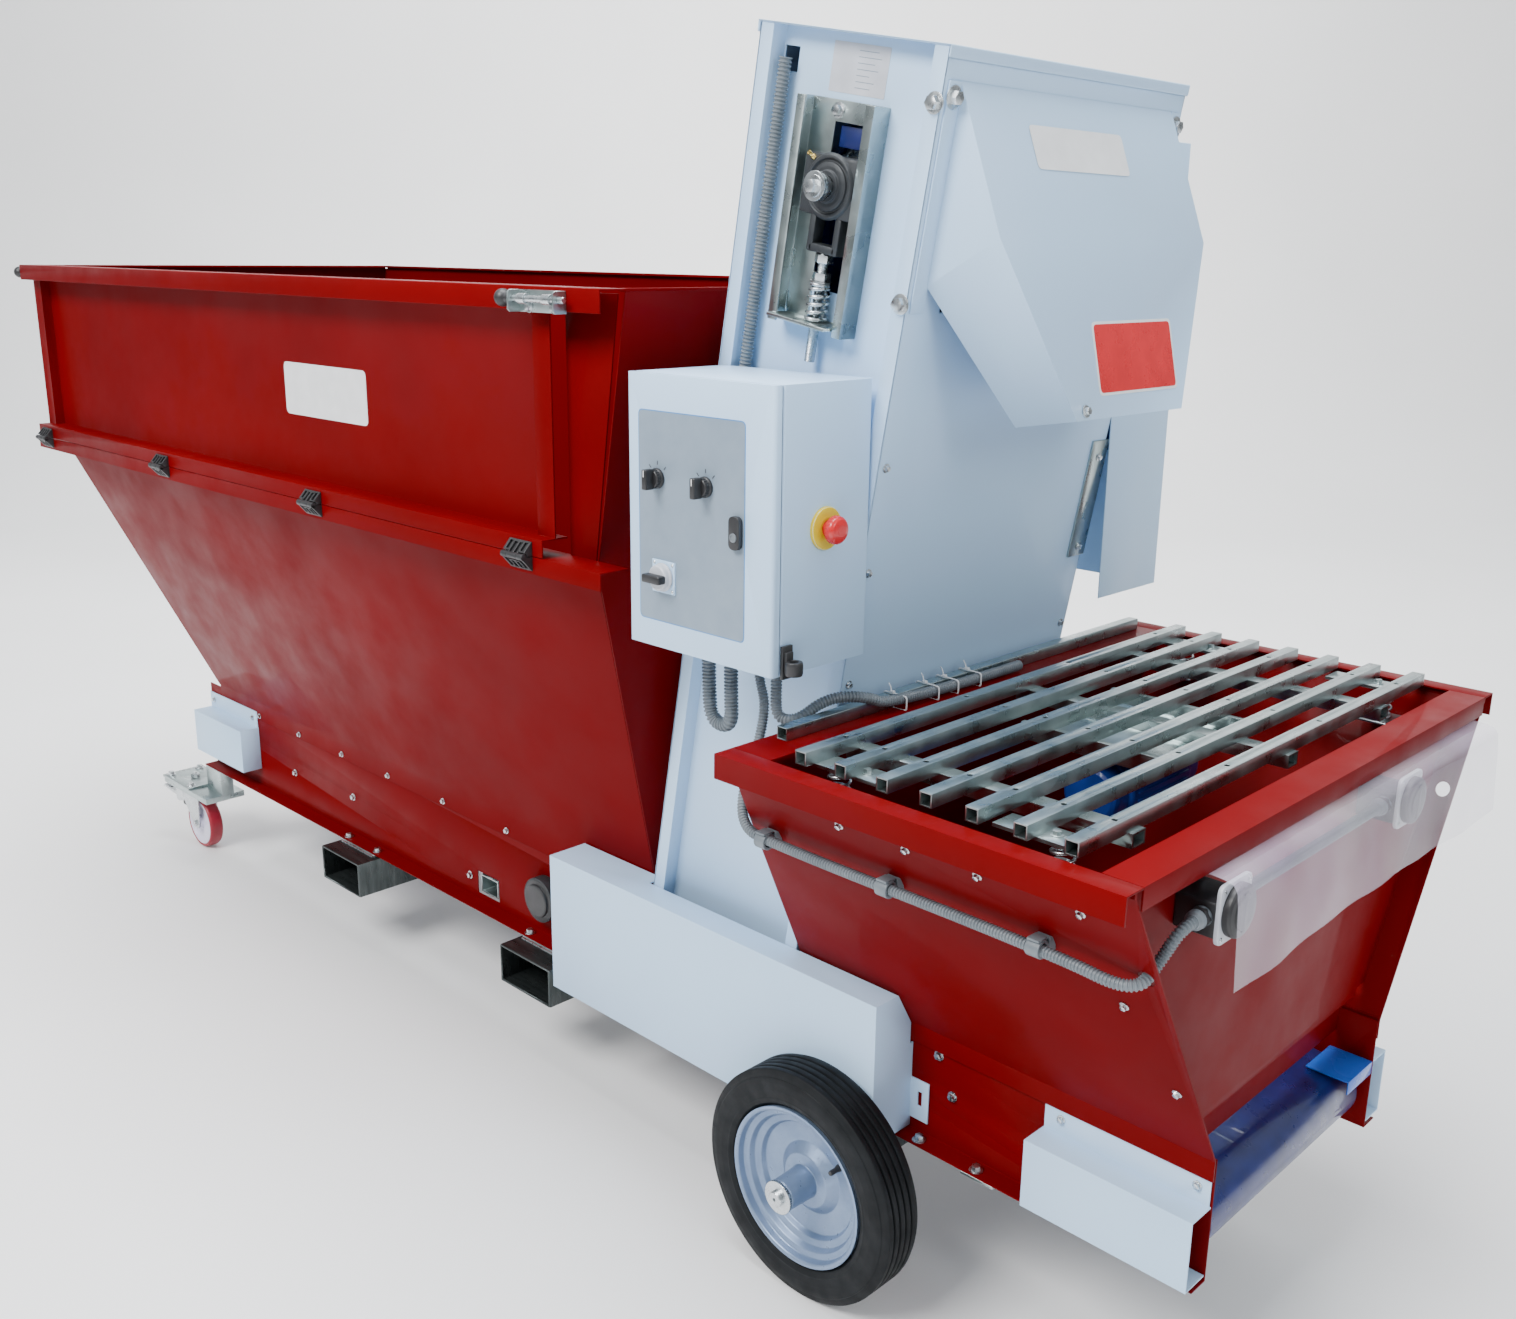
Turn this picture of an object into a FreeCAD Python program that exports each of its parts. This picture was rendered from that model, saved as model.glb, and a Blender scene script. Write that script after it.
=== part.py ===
"""Mobile soil hopper with a bucket-belt elevator and a return hopper, in millimetres.

+X runs from the big feed hopper to the return hopper, +Y to the far side, +Z up.
The origin is on the ground under the middle of the machine.  Near side is -Y.
"""
import FreeCAD, Part
import math
import os

os.makedirs("parts", exist_ok=True)

# ---------------------------------------------------------------- driving dimensions
SHEET = 2.5                 # folded sheet steel
GAP = 0.6                   # clearance between pieces that move past each other
RUN = 0.05                  # radial clearance of a running fit

# base
BASE_LEFT, BASE_RIGHT = -1334, 1567
SKIRT_Y = 260               # outer face of each base side
SKIRT_Z0, SKIRT_Z1 = 250, 470
RETURN_FOOT_Z = 437         # where the return hopper panels start
FLANGE = 35                 # outward bottom flange of a base side
CROSS_Z = 268               # underside of the cross tubes
CROSS_W, CROSS_H = 60, 40
CROSS_X = (-1300, -118, 300)
FORK_W, FORK_H, FORK_WALL = 160, 80, 4
FORK_X = (-638, 65)         # left edge of each fork pocket
FORK_Y = 343
FORK_TOP = 240
COVER_END, COVER_TOP = -1077, 447   # right end and top of the left tensioner covers

# wheels
WHEEL_X, WHEEL_Y, WHEEL_R = 978, 409, 190
TYRE_HALF = 40
BEAD_R = 130
AXLE_R = 12.5
AXLE_END = 489
CASTER_X, CASTER_Y = -1424, 286
CASTER_R, CASTER_TRAIL = 70, 39
CASTER_TOP = 166            # underside of the caster bracket
KINGPIN_R = 6

# feed hopper
HOPPER_TOP, HOPPER_MID, HOPPER_FOOT = 1535, 1105, 478
HOPPER_LEFT, HOPPER_LEFT_FOOT = -1565, -1272
HOPPER_Y = 475
HOPPER_FOOT_Y = 263
LEAN = math.tan(math.radians(10))
LEDGE_Y, LEDGE_Z = 531, 1120
FLAP_LEFT, FLAP_RIGHT = -1572, 494
FLAP_WALL_LEFT, FLAP_WALL_RIGHT = -1530, 450
FLAP_PANEL_Y, FLAP_EDGE_Y = 480, 505
RAIL_RIGHT = 645
HINGE_X = [-1515 + 652 * k for k in range(4)]
HINGE_Y, HINGE_PIN_R = 548, 3
HINGE_HALF, HINGE_RISE = 28, 23.5       # half width, and height of each half off the pin
KNUCKLE_R, KNUCKLE_ROOM = 5.5, 7.2      # knuckle and the cut-out round it in the other half
KNUCKLE_HALF = 12.5                     # half width of the middle knuckle

# tower, leaning 10 degrees towards +X
TOWER_X, TOWER_Z = 735, 1905    # top of the back edge
TOWER_D = 347                   # back to front, square to the lean
TOWER_Y = 300
RECESS_Y = 272.5
TOWER_FOOT = 472
SHAFT_D, SHAFT_S = 176, 200     # head shaft, across and down the tower
DRUM_R = 60
BOOT_X, BOOT_Z = 646, 400
BELT = 3
ELEVATOR_Y = 240
MOTOR_Y = 385                   # middle of the gearmotor, beyond the far side

# conveyors in the base
ROLLER_R = 46
HOPPER_HEAD, HOPPER_TAIL = (470, 372), (-1235, 372)
RETURN_HEAD, RETURN_TAIL = (835, 372), (1508, 312)
BELT_Y = 235
SHAFT_R = 12.5

# control cabinet
CAB_X0, CAB_X1 = 667, 967
CAB_Z0, CAB_Z1 = 1020, 1420
CAB_BACK, CAB_FRONT = -302.5, -485
DOOR_Y = -500

# return hopper
RIM_Z, RIM_LEFT, RIM_RIGHT, RIM_Y = 913, 915, 1570, 560
OPEN_X0, OPEN_X1, OPEN_Y = 987, 1515, 524
PANEL_TOP_Y = 535
END_X = 1527
HEAD_X = 1584                   # back of a connector head's flange
CURTAIN_X = 1619                # furthest reach of the clear curtain
GRID_Z, GRID_TUBE = 915, 20
GRID_X0, GRID_PITCH, GRID_COUNT = 1035, 72, 7
GRID_HALF = 512
CROSS_BAR_Y = (-385, 30, 345)


# ---------------------------------------------------------------- small geometry tools
def V(x, y, z):
    return FreeCAD.Vector(x, y, z)


def box(x0, x1, y0, y1, z0, z1):
    return Part.makeBox(x1 - x0, y1 - y0, z1 - z0, V(x0, y0, z0))


def prism(points, travel):
    """A planar outline of 3-D points, extruded along the travel vector."""
    wire = Part.makePolygon(points + [points[0]])
    return Part.Face(wire).extrude(travel)


def prism_y(outline, y0, y1):
    return prism([V(x, y0, z) for x, z in outline], V(0, y1 - y0, 0))


def prism_x(outline, x0, x1):
    return prism([V(x0, y, z) for y, z in outline], V(x1 - x0, 0, 0))


def sheet(points, towards, thick=SHEET):
    """A flat sheet through the given corners, thickened towards a vector."""
    normal = (points[1] - points[0]).cross(points[2] - points[0]).normalize()
    if normal.dot(towards) < 0:
        normal = normal * -1
    return prism(points, normal * thick)


def rod(a, b, r):
    return Part.makeCylinder(r, (b - a).Length, a, b - a)


def ring(a, b, r_out, r_in):
    return rod(a, b, r_out).cut(rod(a, b, r_in))


def fuse(*shapes):
    result = shapes[0]
    if len(shapes) > 1:
        result = result.fuse(list(shapes[1:]))
    return result.removeSplitter()


def mirror(shape):
    return shape.mirror(V(0, 0, 0), V(0, 1, 0))


def both_sides(*shapes):
    return list(shapes) + [mirror(s) for s in shapes]


def turned_y(profile, x, y, z, side):
    """Turn a closed (radius, offset) profile about the Y line through (x, y, z)."""
    points = [V(x + r, y + side * a, z) for r, a in profile]
    face = Part.Face(Part.makePolygon(points + [points[0]]))
    return face.revolve(V(x, y, z), V(0, 1, 0), 360)


def hexagon(centre, direction, across, height):
    """A hexagonal prism standing on a surface."""
    head = Part.Face(Part.makePolygon(
        [V(across / math.sqrt(3) * math.cos(k * math.pi / 3),
           across / math.sqrt(3) * math.sin(k * math.pi / 3), 0) for k in range(7)]))
    head = head.extrude(V(0, 0, height))
    turn = FreeCAD.Rotation(V(0, 0, 1), direction)
    head.Placement = FreeCAD.Placement(centre, turn)
    return head


def bolt(x, y, z, direction, across=13):
    """A hex head on its washer, standing on a surface."""
    direction = direction.normalize()
    at = V(x, y, z)
    washer = rod(at, at + direction * 1.6, across * 0.85)
    return fuse(washer, hexagon(at + direction * 1.6, direction, across, across * 0.55))


def band(cx0, cz0, cx1, cz1, r, thick, y0, y1):
    """A closed belt round two pulleys of equal radius."""
    def loop(radius):
        run = V(cx1 - cx0, 0, cz1 - cz0)
        up = V(0, 1, 0).cross(run).normalize() * -radius
        ahead = V(run.x, 0, run.z).normalize() * radius
        a, b = V(cx0, y0, cz0), V(cx1, y0, cz1)
        edges = [Part.LineSegment(a + up, b + up).toShape(),
                 Part.Arc(b + up, b + ahead, b - up).toShape(),
                 Part.LineSegment(b - up, a - up).toShape(),
                 Part.Arc(a - up, a - ahead, a + up).toShape()]
        return Part.Face(Part.Wire(edges)).extrude(V(0, y1 - y0, 0))
    return loop(r + thick).cut(loop(r))


def tube_path(points, bends, r):
    """A round tube along straight runs joined by tangent arcs of the given radii."""
    edges, start = [], points[0]
    for before, corner, after, radius in zip(points, points[1:], points[2:], bends):
        into, out = (corner - before).normalize(), (after - corner).normalize()
        half = into.getAngle(out) / 2
        reach = radius * math.tan(half)
        p, q = corner - into * reach, corner + out * reach
        inward = (out - into).normalize()
        middle = corner + inward * (radius / math.cos(half) - radius)
        edges += [Part.LineSegment(start, p).toShape(), Part.Arc(p, middle, q).toShape()]
        start = q
    edges.append(Part.LineSegment(start, points[-1]).toShape())
    wire = Part.Wire(edges)
    section = Part.Wire(Part.makeCircle(r, points[0], points[1] - points[0]))
    tube = wire.makePipeShell([section], True, False)
    return tube


def save(node, *shapes):
    solids = []
    for shape in shapes:
        solids += shape.Solids
    whole = solids[0] if len(solids) == 1 else Part.makeCompound(solids)
    whole.exportStep("parts/%s.step" % node)
    bad = [s for s in solids if not s.isValid() or s.Volume <= 0]
    print("%-22s %3d solids  %9.0f mm3  %s" % (node, len(solids), whole.Volume, "BAD" if bad else ""))


# ---------------------------------------------------------------- tower frame
UP = V(math.sin(math.radians(10)), 0, math.cos(math.radians(10)))
FORWARD = V(UP.z, 0, -UP.x)


def on_tower(d, s, y):
    """A point d forward of the tower's back edge and s down from its top."""
    return V(TOWER_X, y, TOWER_Z) + FORWARD * d - UP * s


def tower_block(d0, d1, s0, s1, y0, y1):
    corners = [on_tower(d, s, y0) for d, s in ((d0, s0), (d1, s0), (d1, s1), (d0, s1))]
    return prism(corners, V(0, y1 - y0, 0))


def tower_x(d, z):
    """X of the line d forward of the back edge, at height z."""
    top = on_tower(d, 0, 0)
    return top.x - (top.z - z) * LEAN


def tower_strip(d0, d1, y0, y1, z0=TOWER_FOOT, s0=0):
    """A strip that runs down the tower to height z0, where it ends level."""
    a, b = on_tower(d0, s0, y0), on_tower(d1, s0, y0)
    return prism([a, b, V(tower_x(d1, z0), y0, z0), V(tower_x(d0, z0), y0, z0)], V(0, y1 - y0, 0))


# ---------------------------------------------------------------- base frame
def base_sides():
    outline = [(BASE_LEFT, SKIRT_Z0), (BASE_RIGHT, SKIRT_Z0), (BASE_RIGHT, RETURN_FOOT_Z),
               (850, RETURN_FOOT_Z), (850, SKIRT_Z1), (BASE_LEFT, SKIRT_Z1)]
    web = prism_y(outline, -SKIRT_Y, -SKIRT_Y + SHEET)
    foot = box(BASE_LEFT, BASE_RIGHT, -SKIRT_Y - FLANGE, -SKIRT_Y + SHEET, SKIRT_Z0 - SHEET, SKIRT_Z0)
    side = fuse(web, foot)
    side = side.cut(box(CROSS_X[1] - 8, CROSS_X[1] + CROSS_W + 8, -SKIRT_Y - 1, -SKIRT_Y + 5,
                        CROSS_Z - 4, CROSS_Z + CROSS_H + 6))
    for x, z in (HOPPER_HEAD, HOPPER_TAIL, RETURN_HEAD, RETURN_TAIL, (BOOT_X, BOOT_Z)):
        side = side.cut(rod(V(x, -SKIRT_Y - 1, z), V(x, -SKIRT_Y + 5, z), SHAFT_R + 6))
    save("base_sides", *both_sides(side))


def cross_members():
    tubes = []
    inner = SKIRT_Y - SHEET
    for x in CROSS_X:
        outer = box(x, x + CROSS_W, -inner, inner, CROSS_Z, CROSS_Z + CROSS_H)
        tubes.append(outer.cut(box(x + 3, x + CROSS_W - 3, -inner, inner, CROSS_Z + 3,
                                   CROSS_Z + CROSS_H - 3)))
    for x in (900, 1180, 1440):
        tubes.append(box(x, x + CROSS_W, -SKIRT_Y - FLANGE, SKIRT_Y + FLANGE, 241.5, SKIRT_Z0 - SHEET))
    for x in FORK_X:
        plate = box(x + 10, x + FORK_W - 10, -SKIRT_Y - FLANGE, -SKIRT_Y + 60, FORK_TOP, SKIRT_Z0 - SHEET)
        tubes += both_sides(plate)
    save("cross_members", *tubes)


def fork_tubes():
    tubes = []
    for x in FORK_X:
        outer = box(x, x + FORK_W, -FORK_Y, FORK_Y, FORK_TOP - FORK_H, FORK_TOP)
        tubes.append(outer.cut(box(x + FORK_WALL, x + FORK_W - FORK_WALL, -FORK_Y, FORK_Y,
                                   FORK_TOP - FORK_H + FORK_WALL, FORK_TOP - FORK_WALL)))
    save("fork_tubes", *tubes)


def wheel_axle():
    tube = box(WHEEL_X - 25, WHEEL_X + 25, -350, 350, WHEEL_R - 25, WHEEL_R + 25)
    shaft = rod(V(WHEEL_X, -AXLE_END, WHEEL_R), V(WHEEL_X, AXLE_END, WHEEL_R), AXLE_R)
    hangers = both_sides(box(WHEEL_X - 45, WHEEL_X + 45, -300, -250, WHEEL_R, 241.5))
    collars = both_sides(ring(V(WHEEL_X, -483, WHEEL_R), V(WHEEL_X, -478.6, WHEEL_R), 27, AXLE_R - 1))
    save("wheel_axle", fuse(tube, shaft, *(hangers + collars)))


def wheels():
    h = TYRE_HALF
    tread = [(BEAD_R, -h + 8), (150, -h), (180, -h + 2)]
    for k in range(4):                      # raised ribs, one groove between each pair
        left = -h + 6 + k * 19
        tread += [(WHEEL_R, left), (WHEEL_R, left + 11), (WHEEL_R - 4, left + 12), (WHEEL_R - 4, left + 18)]
    tread = tread[:-2] + [(180, h - 2), (150, h), (BEAD_R, h - 8)]
    rim = [(BEAD_R - GAP / 2, h - 4), (BEAD_R - 2, h - 1), (124, h - 1), (122, 26), (112, 24), (108, 14),
           (97, 12), (93, 3), (60, -2), (44, 12), (27, 14), (27, 69), (AXLE_R + RUN, 69),
           (AXLE_R + RUN, -44), (27, -44), (27, 8), (42, 8), (58, -6), (96, -1), (100, 8), (111, 10),
           (115, 20), (122, 22), (124, -h + 1), (BEAD_R - 2, -h + 1), (BEAD_R - GAP / 2, -h + 4)]
    for name, side in (("near", -1), ("far", 1)):
        centre = (WHEEL_X, side * WHEEL_Y, WHEEL_R)
        save("tyre_" + name, turned_y(tread, *centre, side))
        save("rim_" + name, turned_y(rim, *centre, side))


# ---------------------------------------------------------------- casters
def casters():
    y0, y1 = CASTER_Y - 56, CASTER_Y + 56
    brackets = []
    arm = box(CASTER_X - 76, -1250, y0 + 3, y1 - 3, CASTER_TOP, CASTER_TOP + 15)
    arm = arm.cut(box(CASTER_X - 76, -1254, y0 + 6, y1 - 6, CASTER_TOP + 3, CASTER_TOP + 12))
    riser = box(-1330, -1250, SKIRT_Y + 1, SKIRT_Y + FLANGE, CASTER_TOP + 15, SKIRT_Z0 - SHEET)
    plate = box(CASTER_X - 77, CASTER_X + 77, y0, y1, CASTER_TOP + 15, CASTER_TOP + 21)
    hole = rod(V(CASTER_X, CASTER_Y, CASTER_TOP - 1), V(CASTER_X, CASTER_Y, CASTER_TOP + 22), KINGPIN_R + RUN)
    for piece in (fuse(arm, riser).cut(hole), plate.cut(hole)):
        brackets += both_sides(piece)
    save("caster_brackets", *brackets)
    for name, side in (("near", -1), ("far", 1)):
        y = side * CASTER_Y
        hub_x = CASTER_X + CASTER_TRAIL
        head = box(CASTER_X - 50, CASTER_X + 50, y - 42, y + 42, CASTER_TOP - 6, CASTER_TOP - 0.3)
        head = fuse(head, rod(V(CASTER_X, y, CASTER_TOP - 6), V(CASTER_X, y, CASTER_TOP - 14), 36),
                    rod(V(CASTER_X, y, CASTER_TOP - 1), V(CASTER_X, y, CASTER_TOP + 34), KINGPIN_R),
                    hexagon(V(CASTER_X, y, CASTER_TOP + 21.3), V(0, 0, 1), 19, 10))
        crown = box(CASTER_X - 30, hub_x + 22, y - 27, y + 27, CASTER_TOP - 22, CASTER_TOP - 14)
        leg = [(CASTER_X - 30, CASTER_TOP - 14), (hub_x + 22, CASTER_TOP - 14), (hub_x + 16, CASTER_R - 14),
               (hub_x - 16, CASTER_R - 14), (CASTER_X - 22, CASTER_TOP - 40)]
        legs = [prism_y(leg, y + k, y + k + 3) for k in (-27, 24)]
        ears = [box(CASTER_X - 72, CASTER_X - 24, y + k, y + k + 3, 108, CASTER_TOP - 14) for k in (-27, 24)]
        axle = rod(V(hub_x, y - 32, CASTER_R), V(hub_x, y + 32, CASTER_R), 6)
        pivot_hole = rod(V(CASTER_X - 62, y - 40, 118), V(CASTER_X - 62, y + 40, 118), 6 + RUN)
        save("caster_fork_" + name, fuse(head, crown, axle, *(legs + ears)).cut(pivot_hole))
        core = ring(V(hub_x, y - 17, CASTER_R), V(hub_x, y + 17, CASTER_R), CASTER_R - 9, 6 + RUN)
        boss = ring(V(hub_x, y - 22, CASTER_R), V(hub_x, y + 22, CASTER_R), 18, 6 + RUN)
        tread = ring(V(hub_x, y - 18, CASTER_R), V(hub_x, y + 18, CASTER_R), CASTER_R, CASTER_R - 9)
        save("caster_wheel_" + name, fuse(core, boss), tread)
        pivot = rod(V(CASTER_X - 62, y - 27, 118), V(CASTER_X - 62, y + 27, 118), 6)
        pedal = prism_y([(CASTER_X - 170, 118), (CASTER_X - 160, 128), (CASTER_X - 62, 124),
                         (CASTER_X - 62, 114), (CASTER_X - 150, 116)], y - 20, y + 20)
        shoe = box(CASTER_X - 68, CASTER_X - 32, y - 12, y + 12, 92, 116)
        save("caster_brake_" + name, fuse(pedal, pivot, shoe))


# ---------------------------------------------------------------- feed hopper
def right_end_x(z):
    """The right end plate leans with the tower."""
    return 638 - (HOPPER_TOP - z) * LEAN


def hopper():
    x0, x1 = HOPPER_LEFT, HOPPER_LEFT_FOOT
    top, mid, foot = HOPPER_TOP, HOPPER_MID, HOPPER_FOOT
    y, yf = HOPPER_Y, HOPPER_FOOT_Y
    upper = sheet([V(x0, -y, top), V(x0, y, top), V(x0, y, mid), V(x0, -y, mid)], V(1, 0, 0))
    lower = sheet([V(x0, -y, mid), V(x0, y, mid), V(x1, yf, foot), V(x1, -yf, foot)], V(1, 0, 1))
    apron = box(x1, x1 + SHEET, -SKIRT_Y + 4, SKIRT_Y - 4, 428, foot + 2)
    hem = box(x0, x0 + 14, -y, y, top - 5, top)
    left = fuse(upper, lower, apron, hem)
    corners = [V(right_end_x(top), -y, top), V(right_end_x(top), y, top), V(right_end_x(mid), y, mid),
               V(right_end_x(foot), yf, foot), V(right_end_x(foot), -yf, foot), V(right_end_x(mid), -y, mid)]
    right = sheet(corners, V(-1, 0, 0))
    bar = box(right_end_x(top) - 16, right_end_x(top), -y, y, top - 5, top)
    save("hopper_ends", left, fuse(right, bar))

    slope = [V(x0 + 3, -y, mid), V(right_end_x(mid) - 4, -y, mid),
             V(right_end_x(foot) - 4, -yf, foot), V(x1 + 3, -yf, foot)]
    near_slope = sheet(slope, V(0, 1, 0))
    strap = fuse(box(COVER_END + 3, right_end_x(foot) - 6, -yf, -yf + SHEET, 428, foot + 2),
                 box(x1 + 3, COVER_END + 3, -yf, -yf + SHEET, COVER_TOP + 2, foot + 2))
    shelf = box(x0 - 15, 636, -LEDGE_Y, -y, LEDGE_Z - SHEET, LEDGE_Z)
    lip = box(x0 - 15, 636, -LEDGE_Y, -LEDGE_Y + SHEET, LEDGE_Z - 28, LEDGE_Z)
    riser = box(x0 + 3, right_end_x(mid) - 4, -y, -y + SHEET, mid - 3, LEDGE_Z)
    post_right = prism_y([(FLAP_RIGHT + 1, LEDGE_Z), (right_end_x(mid) - 4, LEDGE_Z),
                          (right_end_x(top) - 19, top - 8), (FLAP_RIGHT + 1, top - 8)], -y, -y + SHEET)
    post_fold = box(FLAP_RIGHT + 1, FLAP_RIGHT + 1 + SHEET, -y, -y + 38, LEDGE_Z, top - 8)
    post_left = box(x0 + 3, x0 + 40, -y, -y + SHEET, LEDGE_Z, top - 8)
    near = fuse(near_slope, strap, shelf, lip, riser, post_right, post_fold, post_left)

    far_slope = mirror(near_slope)
    far_wall = prism_y([(x0 + 3, mid - 3), (right_end_x(mid - 3) - 3, mid - 3),
                        (right_end_x(top) - 19, top), (x0 + 17, top), (x0 + 17, top - 8),
                        (x0 + 3, top - 8)], y - SHEET, y)
    far_hem = box(x0 + 17, right_end_x(top) - 19, y - 14, y, top - 5, top)
    save("hopper_sides", near, fuse(far_slope, far_wall, far_hem, mirror(strap)))


def hinge_half(x, z0, up):
    """Half of a block hinge, wedge shaped towards its pin.

    The flap's leaf stands above the pin (up is 1) and has the middle knuckle.  The base hangs
    below it (up is -1), has the outer knuckles and holds the pin.
    """
    tip = V(x, -HINGE_Y - KNUCKLE_R, z0 + up * GAP)
    crest = V(x, -LEDGE_Y - 2, z0 + up * HINGE_RISE)
    half = prism_x([(tip.y, tip.z), (crest.y, crest.z), (-LEDGE_Y, crest.z), (-LEDGE_Y, tip.z)],
                   x - HINGE_HALF, x + HINGE_HALF)
    slope = crest - tip
    inward = V(0, up * slope.z, -up * slope.y).normalize()
    low, high = tip + slope * 0.14, tip + slope * 0.86
    for k in range(4):
        side = V(-23 + 12.5 * k, 0, 0)
        slot = [low - inward, high - inward, high + inward * 4, low + inward * 4]
        half = half.cut(prism([corner + side for corner in slot], V(8.5, 0, 0)))
    edge = KNUCKLE_HALF - up * 0.2
    middle, outer = [(-edge, edge)], [(-HINGE_HALF, -edge), (edge, HINGE_HALF)]
    knuckles, rooms = (middle, outer) if up > 0 else (outer, middle)

    def along_pin(a, b, r):
        return rod(V(x + a, -HINGE_Y, z0), V(x + b, -HINGE_Y, z0), r)
    for a, b in rooms:
        half = half.cut(along_pin(a, b, KNUCKLE_ROOM))
    half = fuse(half, *[along_pin(a, b, KNUCKLE_R) for a, b in knuckles])
    if up > 0:
        return half.cut(along_pin(-HINGE_HALF - 1, HINGE_HALF + 1, HINGE_PIN_R + RUN))
    return fuse(half, along_pin(-HINGE_HALF, HINGE_HALF, HINGE_PIN_R))


def flap():
    top = HOPPER_TOP
    z0, shelf = LEDGE_Z + 1, LEDGE_Z + 30
    pieces = [box(FLAP_WALL_LEFT, FLAP_WALL_RIGHT, -FLAP_PANEL_Y - SHEET, -FLAP_PANEL_Y, shelf - SHEET, top)]
    for wall, edge in ((FLAP_WALL_LEFT, FLAP_LEFT), (FLAP_WALL_RIGHT, FLAP_RIGHT)):
        inner = min(wall, wall + math.copysign(SHEET, edge - wall))
        pieces.append(box(inner, inner + SHEET, -FLAP_EDGE_Y, -FLAP_PANEL_Y, shelf - SHEET, top))
        pieces.append(box(min(wall, edge), max(wall, edge), -FLAP_EDGE_Y, -FLAP_EDGE_Y + SHEET, shelf - SHEET, top))
    pieces += [
        box(FLAP_LEFT, FLAP_RIGHT, -LEDGE_Y, -FLAP_PANEL_Y, shelf - SHEET, shelf),
        box(FLAP_LEFT, FLAP_RIGHT, -LEDGE_Y, -LEDGE_Y + SHEET, z0, shelf),
        box(-1580, RAIL_RIGHT, -LEDGE_Y, -HOPPER_Y - 3, top - SHEET, top),
        box(-1580, RAIL_RIGHT, -LEDGE_Y, -LEDGE_Y + SHEET, top - 35, top)]
    save("hopper_flap", fuse(*pieces))

    leaves = [hinge_half(x, z0, 1) for x in HINGE_X]
    bases = [hinge_half(x, z0, -1) for x in HINGE_X]
    rail = -LEDGE_Y                         # front face of the rail along the flap's top edge
    z_low, z_high, z_rod = top - 38, top - 5, top - 18
    y_right, y_left = rail - 14, rail + 9
    bracket = fuse(box(457, 570, rail - 3, rail, z_low, z_high),
                   box(457, 460, rail - 25, rail, z_low, z_high),
                   box(567, 570, rail - 25, rail, z_low, z_high))
    inside = rail + SHEET
    ears = [box(x, x + 3, inside, rail + 24, top - 34, top - SHEET) for x in (-1583, -1503)]
    stay = fuse(box(-1583, -1500, inside, rail + 24, top - 2 * SHEET, top - SHEET), *ears)
    right_bore = rod(V(400, y_right, z_rod), V(700, y_right, z_rod), 5 + RUN)
    left_bore = rod(V(-1700, y_left, z_rod), V(-1400, y_left, z_rod), 5 + RUN)
    save("flap_hinge_bases", *bases)
    save("flap_hardware", *(leaves + [bracket.cut(right_bore), stay.cut(left_bore)]))
    for name, y_rod, knob_x, end_x, collar_r, collars in (("left", y_left, -1605.5, -1488, 6, [-1545]),
                                                          ("right", y_right, 433, 582, 8, [474, 535])):
        knob = Part.makeSphere(13.5, V(knob_x, y_rod, z_rod), V(1, 0, 0))
        neck = rod(V(knob_x, y_rod, z_rod), V(knob_x + 21, y_rod, z_rod), 7)
        stem = rod(V(knob_x, y_rod, z_rod), V(end_x, y_rod, z_rod), 5)
        rings = [rod(V(x, y_rod, z_rod), V(x + 18, y_rod, z_rod), collar_r) for x in collars]
        save("flap_latch_" + name, fuse(knob, neck, stem, *rings))


# ---------------------------------------------------------------- conveyors and drive
def drum(x, z, r, half, wall=5):
    """A drum shell with a holed disc near each end."""
    shell = ring(V(x, -half, z), V(x, half, z), r, r - wall)
    disc = rod(V(x, -half + 6, z), V(x, -half + 14, z), r - wall)
    for k in range(3):
        turn = math.radians(90 + 120 * k)
        at = V(x + (r - wall) * 0.65 * math.cos(turn), -half, z + (r - wall) * 0.65 * math.sin(turn))
        disc = disc.cut(rod(at, at + V(0, 20, 0), 6))
    return [shell] + both_sides(disc)


def roller(name, x, z, r, near_end, far_end, lagging=BELT_Y - 5, sprocket=0):
    shaft = rod(V(x, near_end, z), V(x, far_end, z), SHAFT_R)
    pieces = drum(x, z, r, lagging) + [shaft]
    if sprocket:
        pieces.append(rod(V(x, -316, z), V(x, -310, z), sprocket))
    save(name, fuse(*pieces))


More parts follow.
